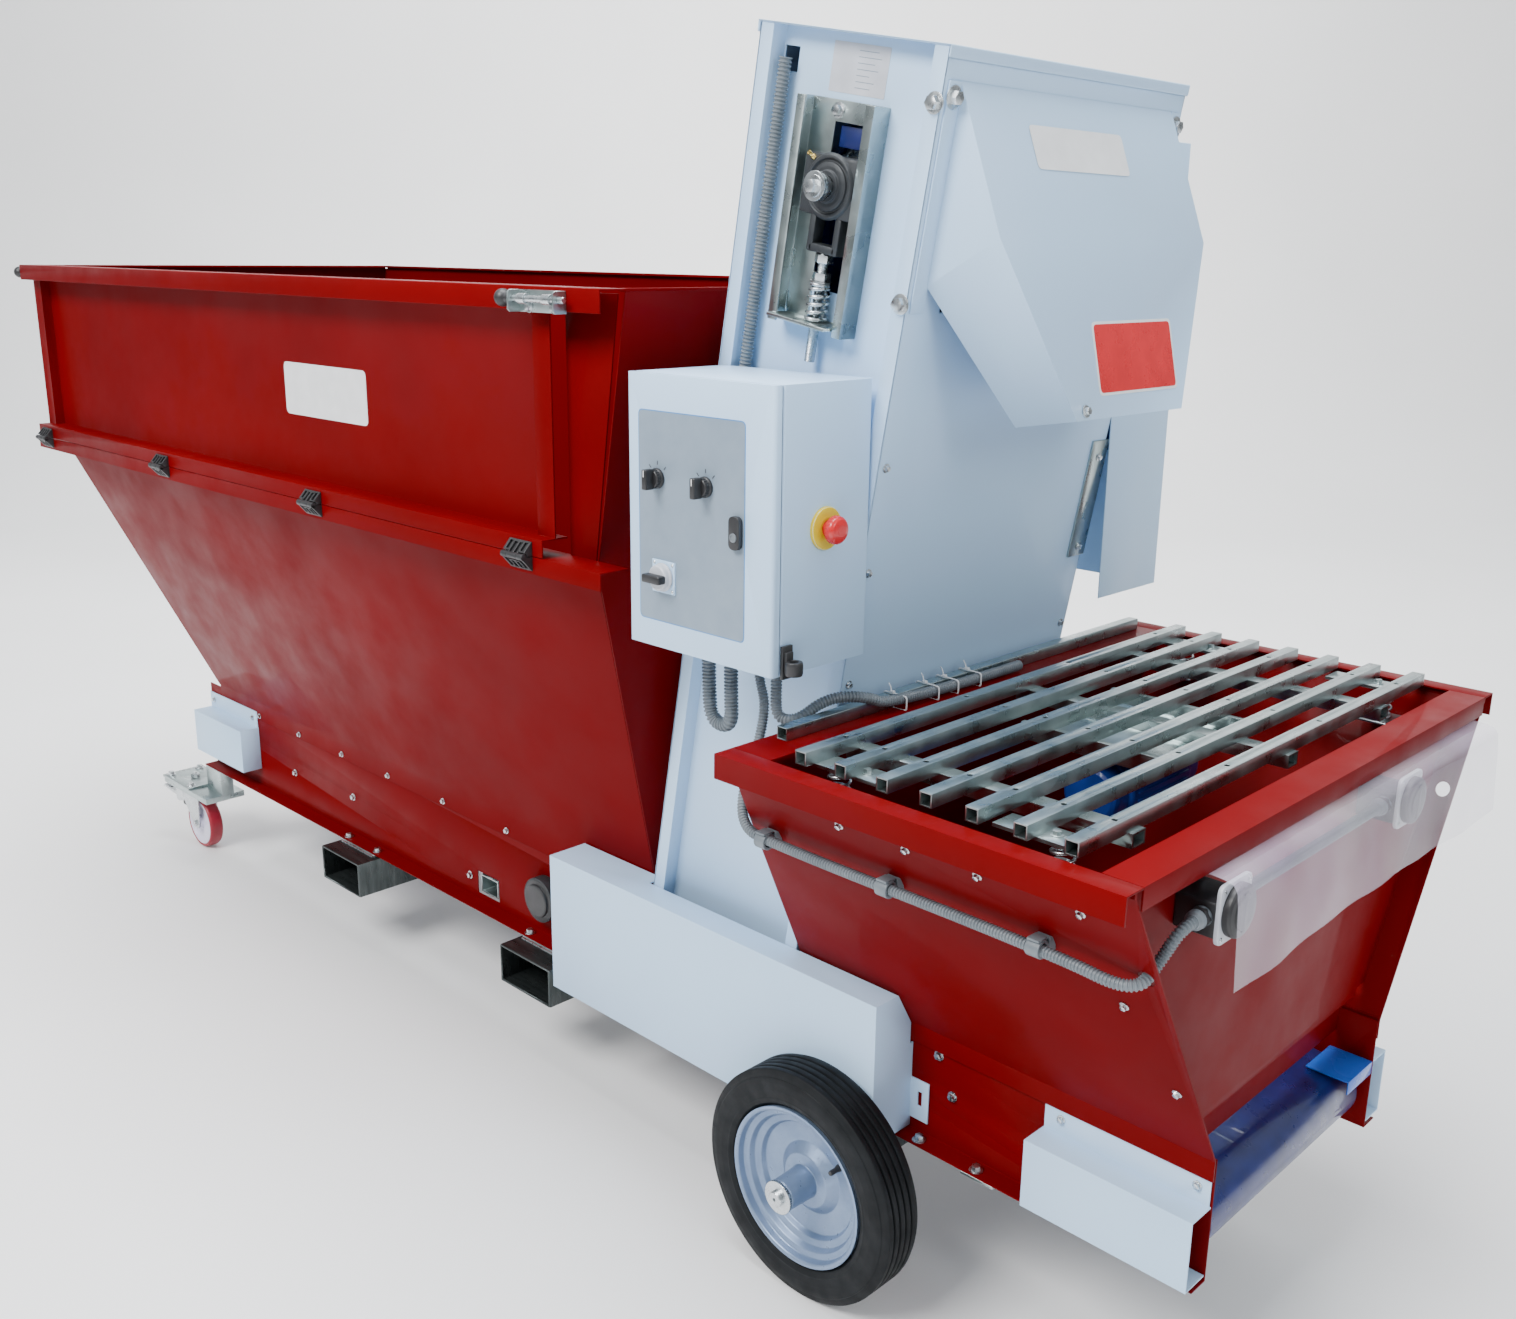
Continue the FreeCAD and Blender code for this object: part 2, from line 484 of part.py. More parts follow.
def conveyors():
    head, tail = HOPPER_HEAD, HOPPER_TAIL
    hopper_belt = band(*tail, *head, ROLLER_R + 0.4, BELT, -BELT_Y, BELT_Y)
    return_belt = band(*RETURN_HEAD, *RETURN_TAIL, ROLLER_R + 0.4, BELT, -BELT_Y, BELT_Y)
    save("conveyor_belts", hopper_belt, return_belt)
    roller("hopper_head_roller", *head, ROLLER_R, -325, 292, sprocket=40)
    roller("hopper_tail_roller", *tail, ROLLER_R, -292, 292)
    roller("return_head_roller", *RETURN_HEAD, ROLLER_R, -292, 292)
    roller("return_tail_roller", *RETURN_TAIL, ROLLER_R, -292, 292)
    roller("boot_drum", BOOT_X, BOOT_Z, DRUM_R, -325, 292, ELEVATOR_Y - 5, sprocket=40)
    save("drive_chain", band(*head, BOOT_X, BOOT_Z, 40.4, 6, -317, -309))

    bearings = []
    for x, z in (HOPPER_HEAD, HOPPER_TAIL, RETURN_HEAD, RETURN_TAIL, (BOOT_X, BOOT_Z)):
        block = fuse(box(x - 28, x + 28, -268, -SKIRT_Y, z - 28, z + 28),
                     rod(V(x, -SKIRT_Y, z), V(x, -286, z), 27))
        block = block.cut(rod(V(x, -250, z), V(x, -300, z), SHAFT_R + RUN))
        bearings += both_sides(block)
    cap = fuse(rod(V(118, -SKIRT_Y, 334), V(118, -284, 334), 46),
               rod(V(118, -284, 334), V(118, -290, 334), 34))
    save("shaft_bearings", cap, *bearings)


def tensioner_cover(x0, x1, z0, z1, depth, flange_top, open_end):
    """A folded cover on the skirt, closed on top, bottom, front and one end."""
    face = -SKIRT_Y - 1
    shell = box(x0, x1, face - depth, face, z0, z1)
    hollow = box(x0 + (SHEET if open_end > 0 else -5), x1 - (SHEET if open_end < 0 else -5),
                 face - depth + SHEET, face + 1, z0 + SHEET, z1 - SHEET)
    flange = box(x0 + 2, x1 - 2, face - SHEET, face, z1 - SHEET, flange_top)
    return fuse(shell.cut(hollow), flange)


def tensioner_covers():
    left = tensioner_cover(BASE_LEFT, COVER_END, 295, 405, 50, COVER_TOP, -1)
    right = tensioner_cover(1300, 1566, 256, 365, 50, 404, 1)
    save("tensioner_covers", *both_sides(left, right))


def hopper_face_y(z):
    """Outer face of the feed hopper's near slope."""
    return -HOPPER_FOOT_Y - (z - HOPPER_FOOT) * (HOPPER_Y - HOPPER_FOOT_Y) / (HOPPER_MID - HOPPER_FOOT)


def return_face_y(z):
    """Outer face of the return hopper's near slope."""
    out, rise = PANEL_TOP_Y - SKIRT_Y - 3, RIM_Z - 8 - RETURN_FOOT_Z
    return -SKIRT_Y - 3 - (z - RETURN_FOOT_Z) * out / rise - SHEET * math.hypot(out, rise) / rise


def drive_guard():
    x0, x1, z0, z1 = 255, 1055, 225, 495
    front, back = -355, -SKIRT_Y - FLANGE - 1
    shell = box(x0, x1, front, -SKIRT_Y - 1, z0, z1)
    hollow = box(x0 + SHEET, x1 - SHEET, front + SHEET, -SKIRT_Y, z0 - 1, z1 - SHEET)
    guard = shell.cut(hollow)
    notch = box(tower_x(0, z1) - 8, tower_x(TOWER_D, z1) + 8, -TOWER_Y - 3, -SKIRT_Y + 1, z1 - 20, z1 + 5)
    for y_foot, z_foot, y_high, right in ((HOPPER_FOOT_Y, HOPPER_FOOT, hopper_face_y(z1 + 5), 470),
                                          (SKIRT_Y + 5.5, RETURN_FOOT_Z, return_face_y(z1 + 5), x1 + 9)):
        left = x0 - 5 if right < x1 else tower_x(TOWER_D, z1) - 20
        behind = [(-250, 400), (-y_foot - 3, 400), (-y_foot - 3, z_foot), (y_high - 3, z1 + 5), (-250, z1 + 5)]
        guard = guard.cut(prism_x(behind, left, right))
    guard = guard.cut(notch)
    guard = guard.cut(box(x1 - 30, x1 + 5, back - 2, -SKIRT_Y, z0 - 5, SKIRT_Z0 + 3))
    guard = guard.cut(box(x0 - 5, x0 + 30, back - 2, -SKIRT_Y, z0 - 5, SKIRT_Z0 + 3))
    tab = box(x1 - SHEET, x1 + 36, -SKIRT_Y - 1 - SHEET, -SKIRT_Y - 1, SKIRT_Z0 + 20, SKIRT_Z0 + 90)
    tab = tab.cut(box(x1 + 15, x1 + 23, -270, -250, SKIRT_Z0 + 45, SKIRT_Z0 + 70))
    save("drive_guard", fuse(guard, tab))


# ---------------------------------------------------------------- elevator tower
def tower():
    lip = 24
    panel = tower_strip(lip, TOWER_D - lip, -RECESS_Y, -RECESS_Y + SHEET)
    slot = tower_block(SHAFT_D - 34, SHAFT_D + 34, 110, 345, -RECESS_Y - 1, -RECESS_Y + 5)
    port = tower_block(lip + 5, lip + 33, 26, 60, -RECESS_Y - 1, -RECESS_Y + 5)
    folds = []
    for d0, d1, wall in ((SHEET, lip + SHEET, lip), (TOWER_D - lip - SHEET, TOWER_D - SHEET, TOWER_D - lip - SHEET)):
        folds.append(tower_strip(d0, d1, -TOWER_Y, -TOWER_Y + SHEET))
        folds.append(tower_strip(wall, wall + SHEET, -TOWER_Y, -RECESS_Y + SHEET))
    foot = box(tower_x(lip, 500) - 4, tower_x(TOWER_D - lip, TOWER_FOOT) - 2, -RECESS_Y, -SKIRT_Y - 0.2,
               TOWER_FOOT, TOWER_FOOT + 30)
    near = fuse(panel.cut(slot).cut(port), foot, *folds)
    far = mirror(fuse(panel.cut(slot), foot, *folds))
    save("tower_sides", near, far)

    back = tower_strip(0, SHEET, -TOWER_Y, TOWER_Y)
    front = tower_strip(TOWER_D - SHEET, TOWER_D, -TOWER_Y, TOWER_Y)
    front = front.cut(tower_block(TOWER_D - 10, TOWER_D + 5, 110, 340, -225, 225))
    top = tower_block(-3, TOWER_D + 3, -SHEET, 0, -TOWER_Y - 3, TOWER_Y + 3)
    lips = [tower_block(-3, 0, 0, 14, -TOWER_Y - 3, TOWER_Y + 3),
            tower_block(TOWER_D, TOWER_D + 3, 0, 14, -TOWER_Y - 3, TOWER_Y + 3)]
    save("tower_covers", back, front, fuse(top, *lips))


def elevator():
    head = on_tower(SHAFT_D, SHAFT_S, 0)
    loop = band(BOOT_X, BOOT_Z, head.x, head.z, DRUM_R + 0.4, BELT, -ELEVATOR_Y, ELEVATOR_Y)
    run = V(head.x - BOOT_X, 0, head.z - BOOT_Z)
    along = V(run.x, 0, run.z).normalize()
    out = V(along.z, 0, -along.x)
    cleats = []
    pitch, tall = 160, 45
    for k in range(int(run.Length // pitch) + 1):
        for side in (-1, 1):
            foot = V(BOOT_X, -ELEVATOR_Y + 5, BOOT_Z) + along * (20 + k * pitch) + out * side * (DRUM_R + BELT)
            a, b = foot, foot + along * 4
            c, d = b + out * side * tall, a + out * side * tall
            cleats.append(prism([a, b, c, d], V(0, 2 * ELEVATOR_Y - 10, 0)))
    save("elevator_belt", fuse(loop, *cleats))
    shaft = rod(V(head.x, -322, head.z), V(head.x, 446, head.z), 15)
    cap = rod(V(head.x, -322, head.z), V(head.x, -330, head.z), 20)
    save("head_drum", fuse(shaft, cap, *drum(head.x, head.z, DRUM_R, ELEVATOR_Y - 5)))


def take_up():
    d0, d1, s0, s1 = 96, 241, 86, 400
    face = -RECESS_Y
    plate = tower_block(d0, d1, s0, s1, face - 3, face)
    plate = plate.cut(tower_block(SHAFT_D - 30, SHAFT_D + 30, 115, 386, face - 5, face + 1))
    rails = []
    for edge, inward in ((d0, 1), (d1, -1)):
        outer = sorted((edge, edge + 4 * inward))
        rails.append(tower_block(outer[0], outer[1], s0, s1, face - 34, face))
        lip = sorted((edge, edge + 16 * inward))
        rails.append(tower_block(lip[0], lip[1], s0, s1, face - 34, face - 30))
    stop = tower_block(d0 + 10, d1 - 20, s1 - 12, s1 - 7, face - 48, face)
    screw_line = rod(on_tower(SHAFT_D, 300, face - 17), on_tower(SHAFT_D, 500, face - 17), 8.3)
    near = fuse(plate, stop, *rails).cut(screw_line)
    strip = tower_block(TOWER_D, TOWER_D + 4, 565, 772, 256, 304)
    lugs = [tower_block(TOWER_D - 30, TOWER_D + 4, s, s + 30, 300, 304) for s in (575, 730)]
    save("take_up_frames", near, mirror(near), fuse(strip, *lugs))

    shaft = on_tower(SHAFT_D, SHAFT_S, 0)
    block = tower_block(SHAFT_D - 54, SHAFT_D + 54, SHAFT_S - 42, SHAFT_S + 42, face - 29.4, face - 4)
    boss = rod(V(shaft.x, face - 4, shaft.z), V(shaft.x, face - 38, shaft.z), 40)
    tail = tower_block(SHAFT_D - 30, SHAFT_D + 30, SHAFT_S + 42, SHAFT_S + 92, face - 28, face - 5)
    window = tower_block(SHAFT_D - 18, SHAFT_D + 18, SHAFT_S + 52, SHAFT_S + 80, face - 45, face + 5)
    bore = rod(V(shaft.x, face + 10, shaft.z), V(shaft.x, face - 60, shaft.z), 15 + RUN)
    screw = rod(on_tower(SHAFT_D, SHAFT_S + 80, face - 17), on_tower(SHAFT_D, 447, face - 17), 8)
    nuts = [hexagon(on_tower(SHAFT_D, s, face - 17), UP * -1, 24, 12) for s in (SHAFT_S + 93, SHAFT_S + 118)]
    near = fuse(block, boss, tail).cut(window).cut(bore)
    near = fuse(near, screw, *nuts)
    save("take_up_bearings", near, mirror(near))

    coils, wire_r = 6, 2.9
    springs = []
    top, bottom = SHAFT_S + 131.5, 387.6
    pitch = (bottom - top - 2 * wire_r) / coils
    for k in range(coils):
        middle = top + wire_r + (k + 0.5) * pitch
        hoop = Part.makeTorus(13.5, wire_r, on_tower(SHAFT_D, middle, face - 17), UP)
        springs.append(hoop)
    springs += [mirror(s) for s in springs]
    save("take_up_springs", *springs)


def hood():
    wide, mouth = 268, 158
    a = V(tower_x(TOWER_D, 1806) + 1, -wide, 1806)
    b = V(1145, -wide, 1610)
    e = V(tower_x(TOWER_D, 1547) + 1, -wide, 1547)
    d = V(1109, -mouth, 1353)
    flat = (b - e).cross(d - e)             # the front edge is as wide as keeps each side plate flat
    c = V(1200, 0, 1368)
    c.y = e.y - (flat.x * (c.x - e.x) + flat.z * (c.z - e.z)) / flat.y

    def face(*corners):
        return Part.Face(Part.makePolygon(list(corners) + [corners[0]]))

    def across(p, q):
        return face(p, q, V(q.x, -q.y, q.z), V(p.x, -p.y, p.z))
    plates = [across(a, b), across(b, c), across(d, e)] + both_sides(face(a, b, e), face(e, b, c, d))
    solid = Part.Solid(Part.makeShell(plates + [across(c, d), across(e, a)]))
    middle = V(1100, 0, 1560)
    walls = []
    for plate in plates:
        inward = plate.normalAt(0, 0)
        if inward.dot(middle - plate.CenterOfMass) < 0:
            inward = inward * -1
        walls.append(plate.extrude(inward * SHEET))
    shell = fuse(*walls).common(solid)
    tabs = both_sides(tower_block(TOWER_D + 1, TOWER_D + 1 + SHEET, 40, 340, -wide - 26, -wide + 2))
    save("hood", fuse(shell, *tabs))


def motor():
    head = on_tower(SHAFT_D, SHAFT_S, 0)
    x, z = head.x, head.z
    y = MOTOR_Y
    gearbox = box(x - 62, x + 62, y - 50, y + 50, z - 62, z + 62)
    gearbox = gearbox.cut(rod(V(x, y - 60, z), V(x, y + 60, z), 30))
    hub = ring(V(x, y - 56, z), V(x, y + 56, z), 36, 15 + RUN)
    neck = rod(V(x, y, z - 62), V(x, y, z - 90), 52)
    stator = rod(V(x, y, z - 90), V(x, y, z - 330), 60)
    cowl = rod(V(x, y, z - 330), V(x, y, z - 420), 57).cut(rod(V(x, y, z - 340), V(x, y, z - 417), 55))
    terminal = box(x - 84, x - 50, y - 40, y + 40, z - 290, z - 180)
    save("gearmotor", fuse(gearbox, hub, neck, stator, cowl, terminal))
    x0, x1, y0, y1, z0, z1 = 690, 985, TOWER_Y + 1.5, 490, 1010, 1775
    cover = box(x0, x1, y0, y1, z0, z1)
    cover = cover.cut(box(x0 + 2, x1 - 2, y0 - 1, y1 - 2, z0 - 1, z1 - 2))
    cover = cover.cut(box(800, 965, y0 - 1, 308, z1 - 4, z1 + 1))       # clears the far take-up rails
    save("motor_cover", cover)


# ---------------------------------------------------------------- control cabinet
def cabinet():
    outer = box(CAB_X0, CAB_X1, CAB_FRONT, CAB_BACK, CAB_Z0, CAB_Z1)
    inner = box(CAB_X0 + 2, CAB_X1 - 2, CAB_FRONT - 1, CAB_BACK - 2, CAB_Z0 + 2, CAB_Z1 - 2)
    shell = outer.makeFillet(6, [e for e in outer.Edges if abs(e.tangentAt(0).z) > 0.9]).cut(inner)
    back_plate = box(CAB_X0 + 25, CAB_X1 - 25, CAB_BACK - 12, CAB_BACK - 10, CAB_Z0 + 25, CAB_Z1 - 25)
    gear = [box(CAB_X0 + 40, CAB_X0 + 150, CAB_BACK - 80, CAB_BACK - 12, 1290, 1370),
            box(CAB_X0 + 165, CAB_X0 + 255, CAB_BACK - 70, CAB_BACK - 12, 1290, 1370),
            box(CAB_X0 + 40, CAB_X0 + 255, CAB_BACK - 50, CAB_BACK - 12, 1190, 1235)]
    posts = [rod(V(x, CAB_BACK - 2, z), V(x, CAB_BACK - 10, z), 5)
             for x in (CAB_X0 + 32, CAB_X1 - 32) for z in (CAB_Z0 + 32, CAB_Z1 - 32)]
    estop_hole = rod(V(CAB_X1 - 5, -398, 1219), V(CAB_X1 + 1, -398, 1219), 11.5)
    collar = ring(V(CAB_X1, -398, 1219), V(CAB_X1 + 5, -398, 1219), 30, 11.5)
    body = fuse(shell, back_plate, *(gear + posts)).cut(estop_hole)
    save("cabinet_body", body, collar)

    tray = box(CAB_X0, CAB_X1, DOOR_Y, CAB_FRONT - 1.5, CAB_Z0, CAB_Z1)
    tray = tray.makeFillet(6, [e for e in tray.Edges if abs(e.tangentAt(0).z) > 0.9
                               and e.CenterOfMass.y < DOOR_Y + 2])
    tray = tray.cut(box(CAB_X0 + 2, CAB_X1 - 2, DOOR_Y + 2, CAB_FRONT, CAB_Z0 + 2, CAB_Z1 - 2))
    holes = [((733, 1272), 8), ((834, 1271), 8), ((747, 1129), 6), ((898, 1215), 7)]
    for (x, z), r in holes:
        tray = tray.cut(rod(V(x, DOOR_Y - 1, z), V(x, DOOR_Y + 3, z), r + RUN))
    plate = box(723, 771, DOOR_Y - 3, DOOR_Y, 1105, 1153).cut(
        rod(V(747, -510, 1129), V(747, -490, 1129), 6 + RUN))
    save("cabinet_door", tray, plate)

    for name, (x, z), r in (("selector_left",) + holes[0], ("selector_right",) + holes[1]):
        skirt = rod(V(x, DOOR_Y - GAP, z), V(x, DOOR_Y - 12, z), 15)
        grip = box(x - 5, x + 5, DOOR_Y - 28, DOOR_Y - 10, z - 15, z + 15)
        stem = rod(V(x, DOOR_Y - 1, z), V(x, DOOR_Y + 14, z), r)
        save(name, fuse(skirt, grip, stem))
    (x, z), r = holes[2]
    knob = fuse(rod(V(x, DOOR_Y - 3 - GAP, z), V(x, DOOR_Y - 16, z), 19),
                box(x - 19, x + 19, DOOR_Y - 30, DOOR_Y - 14, z - 6, z + 6),
                rod(V(x, DOOR_Y - 4, z), V(x, DOOR_Y + 14, z), r))
    save("main_switch", knob)
    (x, z), r = holes[3]
    lock = fuse(box(x - 11, x + 11, DOOR_Y - 9, DOOR_Y - GAP, z - 24, z + 24),
                rod(V(x, DOOR_Y - 2, z), V(x, DOOR_Y + 10, z), r),
                box(x - 8, x + 8, DOOR_Y + 8, DOOR_Y + 10, z - 30, z + 8))
    save("door_lock", lock)
    x, y, z = CAB_X1, -398, 1219
    button = fuse(rod(V(x + 14, y, z), V(x + 32, y, z), 20), rod(V(x - 12, y, z), V(x + 16, y, z), 11.4))
    save("estop_button", button)


# ---------------------------------------------------------------- return hopper
def return_hopper():
    top, foot = RIM_Z - 8, RETURN_FOOT_Z
    yt, yf = PANEL_TOP_Y, SKIRT_Y + 3
    left_top, left_foot = tower_x(TOWER_D, top) + 6, tower_x(TOWER_D, foot) + 6
    slope = sheet([V(left_top, -yt, top), V(RIM_RIGHT - 3, -yt, top), V(RIM_RIGHT - 3, -yf, foot),
                   V(left_foot, -yf, foot)], V(0, -1, 0))
    hole = V(1548, -455, 768)
    slope = slope.cut(rod(hole + V(0, 30, 0), hole - V(0, 30, 0), 11))
    strap = box(left_foot + 2, RIM_RIGHT - 3, -yf - SHEET, -yf, 405, foot + 4)
    side_rim = box(RIM_LEFT, RIM_RIGHT, -RIM_Y, -OPEN_Y, RIM_Z - SHEET, RIM_Z)
    side_lip = box(RIM_LEFT, RIM_RIGHT, -RIM_Y, -RIM_Y + SHEET, RIM_Z - 37, RIM_Z)
    web = box(left_top + 4, RIM_RIGHT - 3, -yt - 2, -yt + 3, top - 4, RIM_Z)
    save("return_sides", *both_sides(fuse(slope, strap, side_rim, side_lip, web)))

    yi = OPEN_Y - 1
    end_foot = 480
    slant = (yt - yf) / (top - foot)
    end = sheet([V(END_X, -yt + 6, top - 6), V(END_X, yt - 6, top - 6),
                 V(END_X, yt - 6 - slant * (top - 6 - end_foot), end_foot),
                 V(END_X, -yt + 6 + slant * (top - 6 - end_foot), end_foot)], V(-1, 0, 0))
    strip = box(END_X - 22, END_X, -SKIRT_Y + 4, SKIRT_Y - 4, end_foot - 12, end_foot)
    drop = box(END_X - 24, END_X - 22, -SKIRT_Y + 4, SKIRT_Y - 4, 400, end_foot)
    rim = box(OPEN_X1, RIM_RIGHT, -yi, yi, RIM_Z - SHEET, RIM_Z)
    rim_web = box(END_X - SHEET, END_X, -yi, yi, top - 10, RIM_Z)
    rim_lip = box(RIM_RIGHT - SHEET, RIM_RIGHT, -yi, yi, RIM_Z - 30, RIM_Z)
    x_top, x_foot = OPEN_X0, tower_x(TOWER_D, foot) + 90
    back = sheet([V(x_top, -yt + 8, top), V(x_top, yt - 8, top), V(x_foot, yf - 6, foot),
                  V(x_foot, -yf + 6, foot)], V(1, 0, 0))
    back_rim = box(RIM_LEFT, OPEN_X0 + 1, -yi, yi, RIM_Z - SHEET, RIM_Z)
    back_web = box(x_top, x_top + SHEET, -yi, yi, top - 2, RIM_Z)
    save("return_ends", fuse(end, strip, drop, rim, rim_web, rim_lip), fuse(back, back_rim, back_web))


def square_tube_y(x, y0, y1, z, size=GRID_TUBE, wall=2):
    outer = box(x - size / 2, x + size / 2, y0, y1, z, z + size)
    return outer.cut(box(x - size / 2 + wall, x + size / 2 - wall, y0, y1, z + wall, z + size - wall))


def grid():
    tubes = []
    last = GRID_X0 + GRID_PITCH * (GRID_COUNT - 1)
    for k in range(GRID_COUNT):
        x = GRID_X0 + GRID_PITCH * k
        tube = square_tube_y(x, -GRID_HALF, GRID_HALF, GRID_Z)
        for y in (-420, -140, 140, 420):
            tube = tube.cut(rod(V(x, y, GRID_Z + 10), V(x, y, GRID_Z + 30), 4))
        tubes.append(tube)
    bars = []
    for y in CROSS_BAR_Y:
        outer = box(GRID_X0 - 15, last + 15, y - 15, y + 15, GRID_Z - 20, GRID_Z)
        bars.append(outer.cut(box(GRID_X0 - 15, last + 15, y - 13, y + 13, GRID_Z - 18, GRID_Z - 2)))
    feet = []
    for x in (1100, 1400):
        for side in (-1, 1):
            y = side * 470
            feet.append(box(x - 60, x + 60, y - 22, y + 22, GRID_Z - 5, GRID_Z))
            feet += [bolt(x + k, y, GRID_Z - 0.1, V(0, 0, 1), 10) for k in (-20, 20)]
    mount = box(1130, 1370, -130, 130, GRID_Z - 26, GRID_Z - 20)
    struts = [box(1130, 1370, y - 5, y + 5, GRID_Z - 20, GRID_Z) for y in (-125, 125)]
    save("screen_grid", fuse(mount, *(tubes + bars + feet + struts)))

    z = GRID_Z - 26 - 62
    shell = rod(V(1250, -85, z), V(1250, 85, z), 52)
    caps = both_sides(rod(V(1250, -85, z), V(1250, -125, z), 46))
    foot = box(1180, 1320, -55, 55, z + 40, GRID_Z - 26)
    terminal = box(1195, 1245, -35, 35, z - 66, z - 30)
    save("vibrator_motor", fuse(shell, foot, terminal, *caps))

    springs = []
    for x in (1070, 1430):
        for side in (-1, 1):
            y = side * 470
            for k in range(5):
                springs.append(Part.makeTorus(15, 2.5, V(x, y, GRID_Z - 7.6 - 11.4 * k), V(0, 0, 1)))
    save("grid_springs", *springs)
    seats = []
    for x in (1070, 1430):
        for side in (-1, 1):
            seats.append(box(x - 30, x + 30, *sorted((side * 440, side * 506)), GRID_Z - 60, GRID_Z - 56))
    cable_bar = square_tube_y(940, -450, 505, RIM_Z)
    strip = box(END_X, END_X + 3, -316, 477, 850, 882)
    save("rim_bars", cable_bar, strip, *seats)


# ---------------------------------------------------------------- electrics on the return hopper
def electrics():
    heads = []
    for y in (-335, 195):
        body = box(END_X, HEAD_X, y - 34, y + 34, 800, 846)
        flange = box(HEAD_X, HEAD_X + 6, y - 39, y + 39, 793, 871)
        corner_edges = [e for e in flange.Edges if abs(e.tangentAt(0).x) > 0.9]
        flange = flange.makeFillet(12, corner_edges)
        disc = rod(V(HEAD_X + 6, y, 832), V(HEAD_X + 20, y, 832), 35)
        gland = rod(V(1566, y - 58, 826), V(1566, y - 34, 826), 13)
        heads.append(fuse(body, flange, disc, gland))
    gland = rod(V(1566, -301, 826), V(1566, -275, 826), 13)
    heads.append(gland)
    save("junction_heads", *heads)

    hanging = [(END_X + 4, 880), (1608, 876), (1616.5, 742), (CURTAIN_X, 742), (1610.5, 878.5),
               (END_X + 4, 882.5)]
    save("curtain", prism_y(hanging, -372, 487))

    r = 8
    y_top, z_run = -483, 768
    run = [V(812, -372, CAB_Z0), V(812, -372, 975), V(850, -385, 915), V(872, y_top, 775), V(980, y_top, z_run),
           V(1440, y_top, z_run), V(1548, y_top, 757), V(1548, -432, 780), V(1566, -420, 826), V(1566, -393, 826)]
    near = tube_path(run, [60, 80, 40, 300, 300, 25, 22, 13], r)
    link = rod(V(1566, -275, 826), V(1566, 137, 826), r)
    channel = [on_tower(46, s, -288) for s in (42, 560)]
    riser = rod(channel[0], channel[1], 10)
    y = -400
    loop = tube_path([V(735, y, CAB_Z0), V(735, y, 940), V(741, y, 884), V(787, y, 884), V(784, y, 940),
                      V(784, y, CAB_Z0)], [100, 18, 18, 100], 11.5)
    drop = tube_path([V(880, y, CAB_Z0), V(880, y, 922), V(914, -392, 922), V(926, -340, 950), V(958, -290, 950),
                      V(964, -235, 923.5), V(964, 100, 923.5)], [20, 20, 60, 50, 60], 9)
    clips = []
    for x in (940, 1168, 1410):
        clip = box(x - 11, x + 11, y_top - 14, y_top + 14, z_run - 14, z_run + 14)
        low, high = z_run - 8, z_run + 8
        foot = [(y_top + 12, low), (return_face_y(low) - 0.1, low), (return_face_y(high) - 0.1, high), (y_top + 12, high)]
        clip = fuse(clip, prism_x(foot, x - 11, x + 11))
        clips.append(clip.cut(rod(V(x - 20, y_top, z_run), V(x + 20, y_top, z_run), r + 0.1)))
    save("conduits", near, link, riser, drop, *clips)
    save("conduit_loop", loop)


# ---------------------------------------------------------------- bolts and screws
def fasteners():
    heads = []
    out, down = V(0, -1, 0), V(0, 0, 1)
    for x in (-1060, -860, -660, -460, -240, -10, 220):           # hopper to base joint
        heads += both_sides(bolt(x, -HOPPER_FOOT_Y - 0.1, 440, out, 8))
    for x, z in ((-625, 342), (-153, 296), (1106, 397), (1135, 338), (-900, 330)):
        heads += both_sides(bolt(x, -SKIRT_Y, z, out, 10))
    for x in (-620, -496, 83, 207, 1090, 1200):                   # through the base flange
        heads += both_sides(bolt(x, -SKIRT_Y - FLANGE + 14, SKIRT_Z0, down, 13))
    for x in (CASTER_X - 60, CASTER_X + 60):                      # caster plates
        for y in (CASTER_Y - 40, CASTER_Y + 40):
            heads += both_sides(bolt(x, -y, CASTER_TOP + 21, down, 13))
    for x in (-1310, -1100, 1330, 1545):                          # tensioner cover flanges
        z = 428 if x < 0 else 390
        heads += both_sides(bolt(x, -SKIRT_Y - 1 - SHEET, z, out, 8))
    for d, s in ((336, 70), (336, 330)):                          # hood lugs on the tower side
        at = on_tower(d, s, -TOWER_Y)
        heads += both_sides(bolt(at.x, at.y, at.z, out, 17))
    for d, s in ((150, 100), (225, 100), (225, 350)):             # take-up channel
        at = on_tower(d, s, -RECESS_Y - 3)
        heads += both_sides(bolt(at.x, at.y, at.z, out, 13))
    for s, y in ((560, -285), (720, -285), (900, -285), (900, 285), (594, 280), (754, 280)):
        at = on_tower(TOWER_D + (4 if y == 280 else 0), s, y)
        heads.append(bolt(at.x, at.y, at.z, V(FORWARD.x, 0, FORWARD.z), 8))
    slant = V(0, -(RIM_Z - 8 - RETURN_FOOT_Z), -(PANEL_TOP_Y - SKIRT_Y - 3)).normalize()
    for x, z in ((1100, 845), (1215, 845), (1330, 845), (1480, 845), (1500, 700), (1540, 560)):
        y = -(SKIRT_Y + 3) - (z - RETURN_FOOT_Z) * (PANEL_TOP_Y - SKIRT_Y - 3) / (RIM_Z - 8 - RETURN_FOOT_Z)
        at = V(x, y, z) + slant * SHEET
        heads += both_sides(bolt(at.x, at.y, at.z, slant, 8))
    for y in (-290, -70, 180, 440):                               # end strip
        heads.append(bolt(END_X + 3, y, 866, V(1, 0, 0), 8))
    save("fasteners", *heads)


